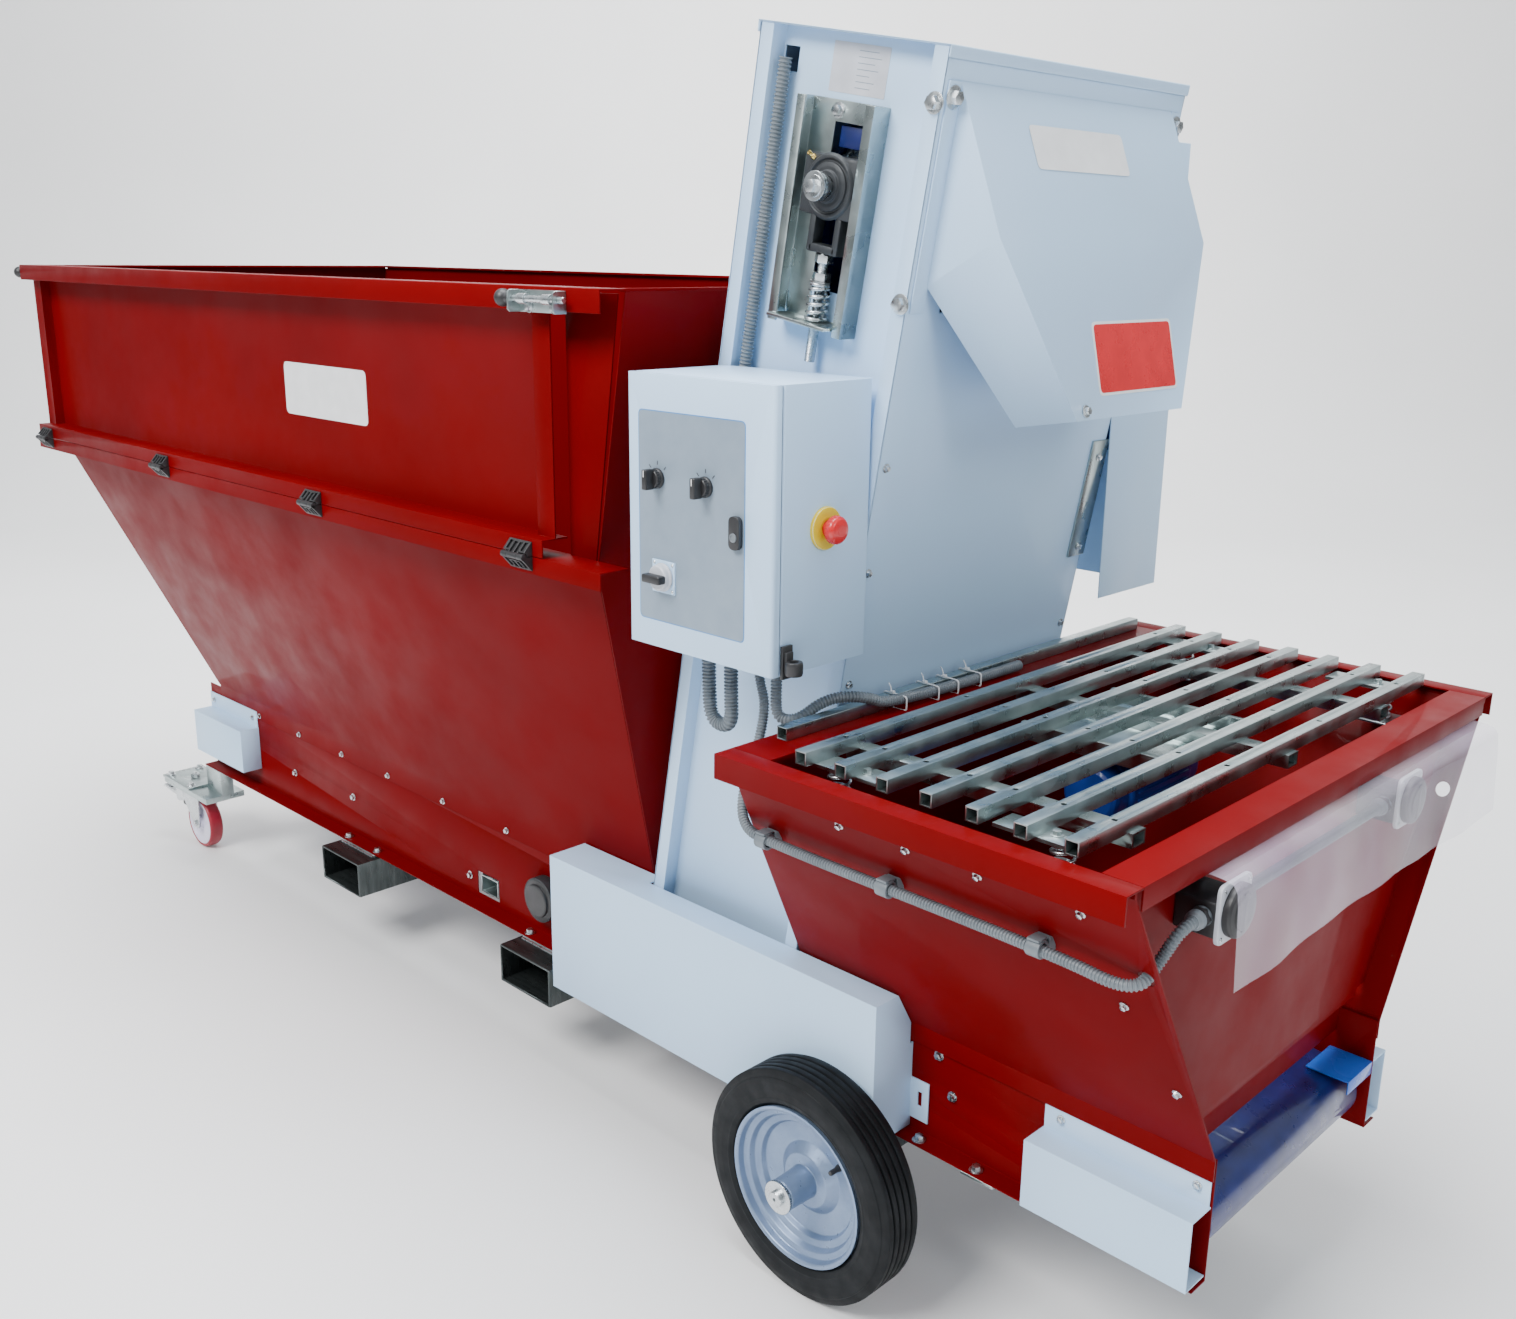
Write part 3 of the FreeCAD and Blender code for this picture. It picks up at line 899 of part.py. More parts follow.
base_sides()
cross_members()
fork_tubes()
wheel_axle()
wheels()
casters()
hopper()
flap()
conveyors()
tensioner_covers()
drive_guard()
tower()
elevator()
take_up()
hood()
motor()
cabinet()
return_hopper()
grid()
electrics()
fasteners()
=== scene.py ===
"""Looks of the mobile feed hopper with its bucket elevator: materials, detailed pieces, camera and light.

Metres, in the CAD frame: +X towards the return hopper, -Y the side with the cabinet, +Z up.
"""

import random
from math import copysign, cos, pi, radians, sin, sqrt

import bmesh
import bpy
from mathutils import Matrix, Vector


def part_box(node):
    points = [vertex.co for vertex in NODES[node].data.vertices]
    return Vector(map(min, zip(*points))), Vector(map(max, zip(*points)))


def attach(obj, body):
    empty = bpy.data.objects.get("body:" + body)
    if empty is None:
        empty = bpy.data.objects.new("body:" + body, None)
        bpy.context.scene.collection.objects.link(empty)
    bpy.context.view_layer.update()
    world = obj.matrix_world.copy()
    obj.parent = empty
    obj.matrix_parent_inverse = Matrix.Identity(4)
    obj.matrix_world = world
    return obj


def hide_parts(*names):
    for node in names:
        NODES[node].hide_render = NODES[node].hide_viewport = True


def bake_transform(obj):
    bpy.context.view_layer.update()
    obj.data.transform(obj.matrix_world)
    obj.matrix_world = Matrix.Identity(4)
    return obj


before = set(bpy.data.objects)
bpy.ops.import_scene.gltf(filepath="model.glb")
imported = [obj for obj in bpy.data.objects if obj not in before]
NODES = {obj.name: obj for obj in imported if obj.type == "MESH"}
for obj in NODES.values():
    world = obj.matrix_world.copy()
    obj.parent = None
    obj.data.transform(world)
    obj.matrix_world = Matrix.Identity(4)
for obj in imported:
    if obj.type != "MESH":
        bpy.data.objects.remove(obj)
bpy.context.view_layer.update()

# ---- named places, in metres
LEAN = radians(10)
UP = Vector((sin(LEAN), 0, cos(LEAN)))  # up the tower
FORWARD = Vector((UP.z, 0, -UP.x))  # out of the tower's front
X, Y, Z = Vector((1, 0, 0)), Vector((0, 1, 0)), Vector((0, 0, 1))
TOWER_TOP = Vector((0.735, 0, 1.905))  # top of the tower's back edge
TOWER_DEPTH = 0.347
SHAFT_D, SHAFT_S = 0.176, 0.2  # head shaft, across and down the tower
RECESS_Y = 0.2725  # outer face of the tower's side panels
DOOR_Y = -0.5  # face of the cabinet door
SIDES = ((-1, "near"), (1, "far"))
CONDUIT_GROOVE = 0.8  # groove radius over rib radius


def on_tower(d, s, y):
    """A point d forward of the tower's back edge and s down from its top."""
    return TOWER_TOP + FORWARD * d - UP * s + Y * y


# ---- materials
class Graph:
    """A node material, with short calls for the nodes used here."""

    def __init__(self, name, **shader):
        self.material = bpy.data.materials.new(name)
        self.material.use_nodes = True
        self.nodes = self.material.node_tree.nodes
        self.links = self.material.node_tree.links
        self.shader = self.nodes["Principled BSDF"]
        for socket, value in shader.items():
            self.shader.inputs[socket.replace("_", " ")].default_value = value
        self.place = self.nodes.new("ShaderNodeTexCoord").outputs["Object"]

    def add(self, kind, inputs=(), **settings):
        node = self.nodes.new("ShaderNode" + kind)
        for key, value in settings.items():
            setattr(node, key, value)
        for key, value in dict(inputs).items():
            if isinstance(value, bpy.types.NodeSocket):
                self.links.new(value, node.inputs[key])
            else:
                node.inputs[key].default_value = value
        return node

    def noise(self, scale, detail=3.0, stretch=None):
        place = self.place
        if stretch:
            place = self.add("Mapping", {"Vector": place, "Scale": stretch}).outputs["Vector"]
        return self.add("TexNoise", {"Vector": place, "Scale": scale, "Detail": detail}).outputs["Fac"]

    def spread(self, value, low, high, from_low=0.3, from_high=0.7):
        return self.add("MapRange", {"Value": value, "From Min": from_low, "From Max": from_high,
                                     "To Min": low, "To Max": high}).outputs["Result"]

    def ramp(self, value, *stops):
        node = self.add("ValToRGB", {"Fac": value})
        points = node.color_ramp.elements
        while len(points) < len(stops):
            points.new(0.5)
        for point, (position, colour) in zip(points, stops):
            point.position, point.color = position, (*colour, 1)
        return node.outputs["Color"]

    def to(self, socket, value):
        self.links.new(value, self.shader.inputs[socket])

    def bump(self, height, strength, distance, before=None):
        inputs = {"Height": height, "Strength": strength, "Distance": distance}
        if before:
            inputs["Normal"] = before
        normal = self.add("Bump", inputs).outputs["Normal"]
        self.to("Normal", normal)
        return normal


def paint(name, dark, light, roughness, coat, peel=0.04, gloss=0.3, coat_index=1.35, index=1.45):
    """Powder coat: slow colour drift, fine orange peel and a film of handling haze."""
    g = Graph(name, Coat_Weight=coat, Coat_Roughness=0.04, Coat_IOR=coat_index, Specular_IOR_Level=gloss,
              IOR=index)
    g.to("Base Color", g.ramp(g.noise(2.2, 5), (0.3, dark), (0.72, light)))
    haze = g.noise(9, 6)
    g.to("Roughness", g.spread(haze, roughness * 0.8, roughness * 1.35))
    wide = g.bump(g.noise(3.5, 1), 0.1, 0.01)
    g.bump(g.noise(420, 2), peel, 0.0006, wide)
    return g.material


def metal(name, dark, light, roughness, scale=140, spangle=0.0, stretch=None, bump=0.05, metallic=1.0):
    """Bare or plated metal, with spangle, streaks and uneven polish."""
    g = Graph(name, Metallic=metallic)
    tone = g.noise(14, 6, stretch)
    if spangle:
        cells = g.add("TexVoronoi", {"Vector": g.place, "Scale": spangle}).outputs["Color"]
        grey = g.add("RGBToBW", {"Color": cells}).outputs["Val"]
        tone = g.add("Mix", {0: 0.18, 2: tone, 3: grey}).outputs[0]
    g.to("Base Color", g.ramp(tone, (0.25, dark), (0.75, light)))
    g.to("Roughness", g.spread(g.noise(scale * 0.4, 5, stretch), roughness * 0.75, roughness * 1.4))
    g.bump(g.noise(scale, 4, stretch), bump, 0.0008)
    return g.material


def plastic(name, dark, light, roughness, grain=700, bump=0.12, **shader):
    g = Graph(name, **shader)
    g.to("Base Color", g.ramp(g.noise(25, 4), (0.3, dark), (0.7, light)))
    g.to("Roughness", g.spread(g.noise(40, 4), roughness * 0.85, roughness * 1.2))
    g.bump(g.noise(grain, 2), bump, 0.0004)
    return g.material


def grey(value, tint=0.0):
    return (value, value, value * (1 + tint))


M = {
    "red_paint": paint("RedPaint", (0.115, 0.0005, 0.0015), (0.152, 0.0009, 0.0023), 0.44, 0.1, gloss=0.15,
                       coat_index=1.16, index=1.22),
    "white_paint": paint("WhitePaint", (0.46, 0.65, 0.87), (0.5, 0.69, 0.905), 0.38, 0.2, gloss=0.2),
    "galvanised": metal("Galvanised", (0.36, 0.425, 0.425), (0.5, 0.565, 0.56), 0.3, 60, spangle=45,
                        bump=0.02),
    "black_paint": metal("DarkSteel", (0.045, 0.055, 0.055), (0.1, 0.115, 0.115), 0.3, 60, stretch=(1, 6, 1),
                         metallic=0.85),
    "tyre": plastic("TyreRubber", (0.003, 0.004, 0.005), (0.007, 0.0085, 0.01), 0.6, 380, 0.25,
                    Specular_IOR_Level=0.2),
    "rim_paint": metal("RimPaint", (0.17, 0.24, 0.365), (0.23, 0.305, 0.44), 0.36, 300, bump=0.05,
                       metallic=0.6),
    "caster_core": plastic("CasterCore", (0.62, 0.6, 0.74), (0.72, 0.7, 0.82), 0.35),
    "caster_wheel": plastic("CasterTread", (0.24, 0.006, 0.02), (0.34, 0.012, 0.03), 0.38),
    "navy_belt": plastic("NavyBelt", (0.006, 0.012, 0.085), (0.012, 0.022, 0.14), 0.3, 260, 0.1,
                         Coat_Weight=0.3),
    "cast_black": metal("BlackCasting", (0.018, 0.021, 0.024), (0.038, 0.042, 0.047), 0.46, 260, bump=0.35,
                        metallic=0.3),
    "zinc": metal("BrightZinc", (0.5, 0.53, 0.55), (0.66, 0.69, 0.7), 0.26, 220, bump=0.008),
    "yellow_zinc": metal("Brass", (0.45, 0.3, 0.08), (0.7, 0.5, 0.16), 0.25, 200),
    "blue_motor": paint("MotorBlue", (0.006, 0.025, 0.17), (0.01, 0.04, 0.24), 0.3, 0.3, peel=0.1),
    "sky_blue": paint("PlateBlue", (0.01, 0.08, 0.42), (0.014, 0.11, 0.52), 0.25, 0.4),
    "black_plastic": plastic("BlackPlastic", (0.012, 0.012, 0.013), (0.026, 0.026, 0.028), 0.42),
    "grey_plastic": plastic("GreyPlastic", (0.125, 0.15, 0.17), (0.175, 0.2, 0.22), 0.42),
    "pale_plastic": plastic("PalePlastic", (0.48, 0.5, 0.55), (0.58, 0.6, 0.65), 0.35),
    "white_plastic": plastic("WhitePlastic", (0.72, 0.73, 0.74), (0.8, 0.81, 0.82), 0.35),
    "red_plastic": plastic("RedPlastic", (0.55, 0.006, 0.01), (0.66, 0.012, 0.018), 0.28, Coat_Weight=0.4),
    "yellow_plastic": plastic("YellowPlastic", (0.72, 0.52, 0.01), (0.82, 0.62, 0.02), 0.35),
    "label_grey": plastic("LabelGrey", (0.19, 0.25, 0.315), (0.22, 0.28, 0.345), 0.45, 500, 0.05),
    "label_blue": plastic("LabelBlue", (0.05, 0.2, 0.48), (0.07, 0.25, 0.55), 0.34, 500, 0.05),
    "label_ink": plastic("LabelInk", (0.03, 0.03, 0.035), (0.05, 0.05, 0.055), 0.4, 500, 0.05),
}


def clear_sheet():
    g = Graph("ClearSheet", Roughness=0.06, IOR=1.45, Coat_Weight=0.6)
    g.to("Base Color", g.ramp(g.noise(6, 4), (0.3, (0.72, 0.62, 0.82)), (0.7, (0.88, 0.86, 0.93))))
    g.to("Alpha", g.spread(g.noise(5, 5), 0.2, 0.36))
    g.bump(g.noise(9, 3), 0.5, 0.004)
    g.material.surface_render_method = "BLENDED"
    return g.material


M["clear_pvc"] = clear_sheet()


# ---- mesh building
def axes(direction):
    """A unit direction and two unit vectors across it."""
    direction = Vector(direction).normalized()
    side = direction.orthogonal().normalized()
    return direction, side, direction.cross(side)


def extrude(part, faces, travel):
    """Extrudes faces along a vector, and returns the vertices of their far end."""
    swept = bmesh.ops.extrude_face_region(part, geom=faces)
    moved = [v for v in swept["geom"] if isinstance(v, bmesh.types.BMVert)]
    bmesh.ops.translate(part, vec=travel, verts=moved)
    return moved


def join_rows(part, one, two, closed):
    """Four-sided faces between two rows of vertices, or two rings of them."""
    for j in range(len(one) if closed else len(one) - 1):
        n = (j + 1) % len(one)
        part.faces.new((one[j], one[n], two[n], two[j]))


class Piece:
    """Gathers geometry into one mesh, each part of it in its own material, given by its key in M."""

    def __init__(self, name):
        self.name, self.bm, self.materials = name, bmesh.new(), []

    def merge(self, part, material, matrix=None):
        if material not in self.materials:
            self.materials.append(material)
        bmesh.ops.recalc_face_normals(part, faces=part.faces)
        for face in part.faces:
            face.material_index = self.materials.index(material)
        if matrix:
            part.transform(matrix)
        mesh = bpy.data.meshes.new("part")
        part.to_mesh(mesh)
        part.free()
        self.bm.from_mesh(mesh)
        bpy.data.meshes.remove(mesh)

    def block(self, low, high, material, radius=0.001, steps=2, matrix=None):
        """A box with rounded edges."""
        part = bmesh.new()
        bmesh.ops.create_cube(part, size=1)
        size = [max(abs(b - a), 1e-5) for a, b in zip(low, high)]
        centre = [(a + b) / 2 for a, b in zip(low, high)]
        part.transform(Matrix.Translation(centre) @ Matrix.Diagonal((*size, 1)))
        self._round(part, radius, steps)
        self.merge(part, material, matrix)

    def prism(self, points, travel, material, radius=0.0008, steps=2):
        """A flat outline swept along a vector, with rounded edges."""
        part = bmesh.new()
        ring = [part.verts.new(p) for p in points]
        extrude(part, [part.faces.new(ring)], travel)
        self._round(part, radius, steps)
        self.merge(part, material)

    def _round(self, part, radius, steps):
        if radius > 0:
            bmesh.ops.bevel(part, geom=list(part.edges), offset=radius, segments=steps, profile=0.5,
                            affect="EDGES", clamp_overlap=True)

    def lathe(self, profile, centre, axis, material, turns=48):
        """A (radius, along) outline turned about an axis; radius 0 closes it at a pole."""
        axis, side, across = axes(axis)
        part = bmesh.new()
        rings = []
        for k in range(turns):
            angle = 2 * pi * k / turns
            ray = side * cos(angle) + across * sin(angle)
            rings.append([part.verts.new(Vector(centre) + ray * r + axis * a) for r, a in profile])
        closed = profile[0][0] > 1e-6 or profile[-1][0] > 1e-6
        for k in range(turns):
            join_rows(part, rings[k], rings[(k + 1) % turns], closed)
        bmesh.ops.remove_doubles(part, verts=part.verts, dist=1e-7)
        bmesh.ops.dissolve_degenerate(part, edges=part.edges, dist=1e-8)
        self.merge(part, material)

    def turned(self, profile, radius, centre, axis, material, turns=48):
        """A lathed outline with its corners rounded."""
        self.lathe(softened(profile, radius, closed=profile[0][0] > 0), centre, axis, material, turns)

    def rod(self, radius, start, end, centre, axis, material, turns=24):
        """A plain round rod between two distances along its axis."""
        self.lathe([(0, start), (radius, start), (radius, end), (0, end)], centre, axis, material, turns)

    def screw(self, rim, step, crown, height, recess, centre, axis, turns):
        """A small domed head with a round recess."""
        self.lathe([(0, 0), (rim, 0), (rim, step), (crown, height), (recess, height), (recess, step),
                    (0, step)], centre, axis, "zinc", turns)

    def sweep(self, line, radii, material, sides=16):
        """A round tube along a line of points; radii is one number or one for each point."""
        if not hasattr(radii, "__len__"):
            radii = [radii] * len(line)
        part = bmesh.new()
        rings = []
        turn = [2 * pi * j / sides for j in range(sides)]
        side = (line[1] - line[0]).normalized().orthogonal().normalized()
        for k, point in enumerate(line):
            ahead = (line[min(k + 1, len(line) - 1)] - line[max(k - 1, 0)]).normalized()
            side = (side - ahead * side.dot(ahead)).normalized()
            across = ahead.cross(side)
            rings.append([part.verts.new(point + (side * cos(t) + across * sin(t)) * radii[k])
                          for t in turn])
        for one, two in zip(rings, rings[1:]):
            join_rows(part, one, two, True)
        part.faces.new(rings[0])
        part.faces.new(rings[-1])
        self.merge(part, material)

    def hexagon(self, at, direction, across, height, material="zinc"):
        """A hexagonal head or nut with a turned chamfer."""
        direction = Vector(direction).normalized()
        turn = direction.to_track_quat("Z", "Y").to_matrix().to_4x4()
        reach = across / sqrt(3)
        points = [(reach * cos(k * pi / 3), reach * sin(k * pi / 3), 0) for k in range(6)]
        part = bmesh.new()
        face = part.faces.new([part.verts.new(p) for p in points])
        top = extrude(part, [face], (0, 0, height))
        rim = [e for e in part.edges if all(v in top for v in e.verts)]
        bmesh.ops.bevel(part, geom=rim, offset=across * 0.072, segments=2, profile=0.5, affect="EDGES")
        self.merge(part, material, Matrix.Translation(at) @ turn)

    def bolt(self, at, direction, across=0.013, washer=True, material="zinc", height=0.55):
        """A hex head with its washer, standing on a surface."""
        at, direction = Vector(at), Vector(direction).normalized()
        base = 0.0
        if washer:
            base = 0.0016
            edge = 0.0003
            r = across * 0.9
            self.lathe([(0, 0), (r - edge, 0), (r, edge), (r, base - edge), (r - edge, base), (0, base)], at,
                       direction, material, 28)
        self.hexagon(at + direction * base, direction, across, across * height, material)

    def done(self, body, slot, *nodes, sharp=32):
        """Makes the object; it rides on a CAD body, and stands for the CAD nodes named."""
        bm = self.bm
        for face in bm.faces:
            face.smooth = True
        limit = radians(sharp)
        for edge in bm.edges:
            edge.smooth = len(edge.link_faces) == 2 and edge.calc_face_angle(0) < limit
        mesh = bpy.data.meshes.new(self.name)
        bm.to_mesh(mesh)
        bm.free()
        for material in self.materials:
            mesh.materials.append(M[material])
        obj = bpy.data.objects.new(self.name, mesh)
        bpy.context.scene.collection.objects.link(obj)
        if body:
            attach(obj, body)
        if nodes:
            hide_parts(*nodes)
        return obj


def route_line(points, spacing):
    """Evenly spaced points along a smooth curve through a route."""
    curve = bpy.data.curves.new("route", "CURVE")
    curve.dimensions = "3D"
    curve.resolution_u = 32
    spline = curve.splines.new("NURBS")
    spline.points.add(len(points) - 1)
    for knot, point in zip(spline.points, points):
        knot.co = (*point, 1)
    spline.order_u = 3
    spline.use_endpoint_u = True
    holder = bpy.data.objects.new("route", curve)
    mesh = bpy.data.meshes.new_from_object(holder)
    raw = [v.co.copy() for v in mesh.vertices]
    bpy.data.objects.remove(holder)
    bpy.data.curves.remove(curve)
    bpy.data.meshes.remove(mesh)
    total = sum((b - a).length for a, b in zip(raw, raw[1:]))
    count = max(2, round(total / spacing))
    step, line, carried = total / count, [raw[0]], 0.0
    for a, b in zip(raw, raw[1:]):
        length = (b - a).length
        while carried + length >= step and len(line) < count:
            share = (step - carried) / length
            a = a.lerp(b, share)
            line.append(a.copy())
            length = (b - a).length
            carried = 0.0
        carried += length
    line.append(raw[-1])
    return line


def softened(outline, radius, closed=True, steps=3):
    """Rounds the corners of a 2-D outline."""
    result, count = [], len(outline)
    for k, here in enumerate(outline):
        if not closed and k in (0, count - 1):
            result.append(here)
            continue
        here = Vector(here)
        before, after = Vector(outline[k - 1]), Vector(outline[(k + 1) % count])
        reach = min(radius, (before - here).length * 0.45, (after - here).length * 0.45)
        a = here + (before - here).normalized() * reach
        b = here + (after - here).normalized() * reach
        for j in range(steps + 1):
            t = j / steps
            result.append(tuple(a * (1 - t) ** 2 + here * 2 * t * (1 - t) + b * t * t))
    return result


def mirrored(outline):
    """An outline of (radius, along) and its mirror image, back to the start's other end."""
    return outline + [(r, -a) for r, a in reversed(outline) if a]


def rounded(left, right, low, high, radius, steps=5):
    """A rectangle with rounded corners."""
    return softened([(left, low), (right, low), (right, high), (left, high)], radius, steps=steps)


def plate_with_holes(piece, outline, holes, normal, thick, material, radius=0.0004):
    """A flat plate: a 3-D outline, round holes of (centre, radius), thickened along the normal."""
    normal, side, across = axes(normal)
    part = bmesh.new()
    rings = [[Vector(p) for p in outline]]
    for centre, r in holes:
        turn = [2 * pi * k / 28 for k in range(28)]
        rings.append([Vector(centre) + (side * cos(t) + across * sin(t)) * r for t in turn])
    edges = []
    for ring in rings:
        verts = [part.verts.new(p) for p in ring]
        edges += [part.edges.new((a, b)) for a, b in zip(verts, verts[1:] + verts[:1])]
    bmesh.ops.triangle_fill(part, use_beauty=True, edges=edges)
    extrude(part, list(part.faces), normal * thick)
    bmesh.ops.recalc_face_normals(part, faces=part.faces)
    if radius:
        rim = [e for e in part.edges if len(e.link_faces) == 2 and 1.2 < e.calc_face_angle(0) < 1.9]
        bmesh.ops.bevel(part, geom=rim, offset=radius, segments=1, profile=0.5, affect="EDGES",
                        clamp_overlap=True)
    piece.merge(part, material)


TOWER = Matrix.Translation(TOWER_TOP) @ Matrix((FORWARD, Y, UP)).transposed().to_4x4()


def tower_block(piece, d0, d1, s0, s1, y0, y1, material, radius=0.0008):
    """A rounded block square to the tower: d forward of its back edge, s down from its top."""
    piece.block((d0, y0, -s1), (d1, y1, -s0), material, radius, matrix=TOWER)


def thread_line(a, b, r, depth=0.0007, pitch=0.002):
    """Points and radii for a threaded rod."""
    length = (b - a).length
    count = int(length / (pitch / 2))
    line = [a.lerp(b, k / count) for k in range(count + 1)]
    return line, [r - (depth if k % 2 else 0) for k in range(count + 1)]


def helix(bottom, axis, radius, height, coils, closed=0.75):
    """A compression spring's line, with its end coils closed."""
    axis, side, across = axes(axis)
    line, steps = [], int(coils * 20)
    for k in range(steps + 1):
        turn = coils * k / steps
        share = max(0.0, min(1.0, (turn - closed) / (coils - 2 * closed)))
        angle = 2 * pi * turn
        line.append(bottom + axis * height * share + (side * cos(angle) + across * sin(angle)) * radius)
    return line


def corrugated(piece, line, r):
    """Ribbed flexible conduit along closely spaced points: two on each rib, two in each groove."""
    radii = [r * (1.0 if k % 4 < 2 else CONDUIT_GROOVE) for k in range(len(line))]
    piece.sweep(line, radii, "grey_plastic", sides=14)


def lumpy(line, r, seed):
    """A weld bead's radii."""
    chance = random.Random(seed)
    return [r * (0.75 + 0.35 * chance.random()) for _ in line]


# ---- CAD nodes that stay
STAYS = {
    "base_sides": "red_paint", "cross_members": "galvanised", "fork_tubes": "black_paint",
    "wheel_axle": "black_paint", "caster_brackets": "galvanised", "hopper_ends": "red_paint",
    "hopper_sides": "red_paint", "hopper_flap": "red_paint",
    "conveyor_belts": "navy_belt", "hopper_head_roller": "zinc", "hopper_tail_roller": "zinc",
    "return_head_roller": "zinc", "return_tail_roller": "zinc", "boot_drum": "zinc",
    "drive_chain": "cast_black", "shaft_bearings": "cast_black", "tensioner_covers": "white_paint",
    "drive_guard": "white_paint", "tower_sides": "white_paint", "tower_covers": "white_paint",
    "elevator_belt": "navy_belt", "head_drum": "zinc", "take_up_frames": "galvanised", "hood": "white_paint",
    "gearmotor": "blue_motor", "motor_cover": "white_paint", "cabinet_body": "white_paint",
    "cabinet_door": "white_paint", "return_sides": "red_paint", "return_ends": "red_paint",
    "screen_grid": "galvanised", "rim_bars": "galvanised", "fasteners": "zinc",
}
EDGE_RADIUS = {"tower_covers": 0.0022, "hood": 0.0022, "drive_guard": 0.0022, "cabinet_body": 0.0012,
               "cabinet_door": 0.0014, "fork_tubes": 0.003, "cross_members": 0.0025, "fasteners": 0.0004,
               "screen_grid": 0.0012, "rim_bars": 0.0012, "shaft_bearings": 0.0014}


def dress(name, material, radius):
    """Gives a CAD node its material, and rounds its edges by modifiers."""
    node = NODES[name]
    node.data.materials.clear()
    node.data.materials.append(M[material])
    node.data.shade_smooth()
    weld = node.modifiers.new("Weld", "WELD")
    weld.merge_threshold = 0.00002
    bevel = node.modifiers.new("Edges", "BEVEL")
    bevel.width = radius
    bevel.segments = 2
    bevel.limit_method = "ANGLE"
    bevel.angle_limit = radians(28)
    bevel.use_clamp_overlap = True
    bevel.harden_normals = True
    split = node.modifiers.new("Split", "EDGE_SPLIT")
    split.split_angle = radians(50)


for name, material in STAYS.items():
    dress(name, material, EDGE_RADIUS.get(name, 0.0008))


# ---- running gear
def tyre_outline(r, half, bead):
    """Cross-section of a ribbed tyre, as (radius, along) round the closed section."""
    side = [(bead, half * 0.74), (bead + 0.006, half * 0.93), (bead + 0.012, half * 0.985),
            (bead + 0.014, half * 1.0), (bead + 0.016, half * 0.99), (bead + 0.028, half * 1.02),
            (bead + 0.04, half * 1.0), (r - 0.013, half * 0.965), (r - 0.0125, half * 0.93),
            (r - 0.0075, half * 0.905), (r - 0.003, half * 0.86)]
    ribs, count = [], 5
    width = 2 * half * 0.82 / count
    for k in range(count):
        left = half * 0.82 - k * width
        ribs += [(r, left), (r, left - width * 0.66)]
        if k < count - 1:
            ribs += [(r - 0.0045, left - width * 0.72), (r - 0.0045, left - width * 0.94)]
    other = [(a, -b) for a, b in reversed(side)]
    inner = [(bead, -half * 0.5), (bead, half * 0.5)]
    walls = [softened(part, 0.0009, closed=False, steps=2) for part in (side + ribs, other)]
    return walls[0] + walls[1] + inner


TYRE_R, TYRE_HALF, BEAD_R = 0.19, 0.04, 0.13
VALVE_TURN = radians(40)
RIM = [(0.1297, 0.036), (0.1315, 0.0385), (0.1275, 0.0395), (0.1235, 0.037), (0.1215, 0.026), (0.112, 0.024),
       (0.108, 0.014), (0.097, 0.012), (0.093, 0.003), (0.06, -0.002), (0.044, 0.012), (0.027, 0.014),
       (0.0255, 0.0655), (0.0235, 0.0688), (0.01256, 0.0688), (0.01256, -0.0438), (0.027, -0.0438),
       (0.027, 0.008), (0.042, 0.008), (0.058, -0.006), (0.096, -0.001), (0.1, 0.008), (0.111, 0.01),
       (0.115, 0.02), (0.1215, 0.022), (0.1235, -0.037), (0.1275, -0.0395), (0.1315, -0.0385),
       (0.1297, -0.036)]

for side, name in SIDES:
    low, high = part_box("tyre_" + name)
    centre = (low + high) / 2
    tyre = Piece("tyre_rubber_" + name)
    tyre.lathe(tyre_outline(TYRE_R, TYRE_HALF, BEAD_R), centre, Y * side, "tyre", 120)
    tyre.done("wheel_" + name, "tyre", "tyre_" + name, sharp=40)
    rim = Piece("rim_dish_" + name)
    rim.turned(RIM, 0.0016, centre, Y * side, "rim_paint", 96)
    at = centre + (X * cos(VALVE_TURN) + Z * sin(VALVE_TURN)) * 0.103 + Y * side * 0.011
    valve = at + (centre - at).normalized() * 0.004
    rim.lathe([(0, 0.03), (0.0034, 0.03), (0.0042, 0.028), (0.0042, 0.016), (0.0055, 0.012), (0.007, 0.0),
               (0, 0)], valve, Y * side, "black_plastic", 20)
    rim.done("wheel_" + name, "rim_paint", "rim_" + name)
    end = Piece("axle_end_" + name)
    at = Vector((centre.x, side * 0.4786, centre.z))
    end.lathe([(0.0128, 0.0002), (0.0265, 0.0002), (0.027, 0.0007), (0.027, 0.0039), (0.0265, 0.0046),
               (0.0128, 0.0046)], at, Y * side, "zinc", 48)
    end.lathe([(0, 0.007), (0.0022, 0.0085), (0.003, 0.0118), (0.011, 0.0118), (0.0127, 0.0102),
               (0.0127, 0.0), (0, 0)], at, Y * side, "zinc", 40)
    end.done("machine", "galvanised", sharp=28)

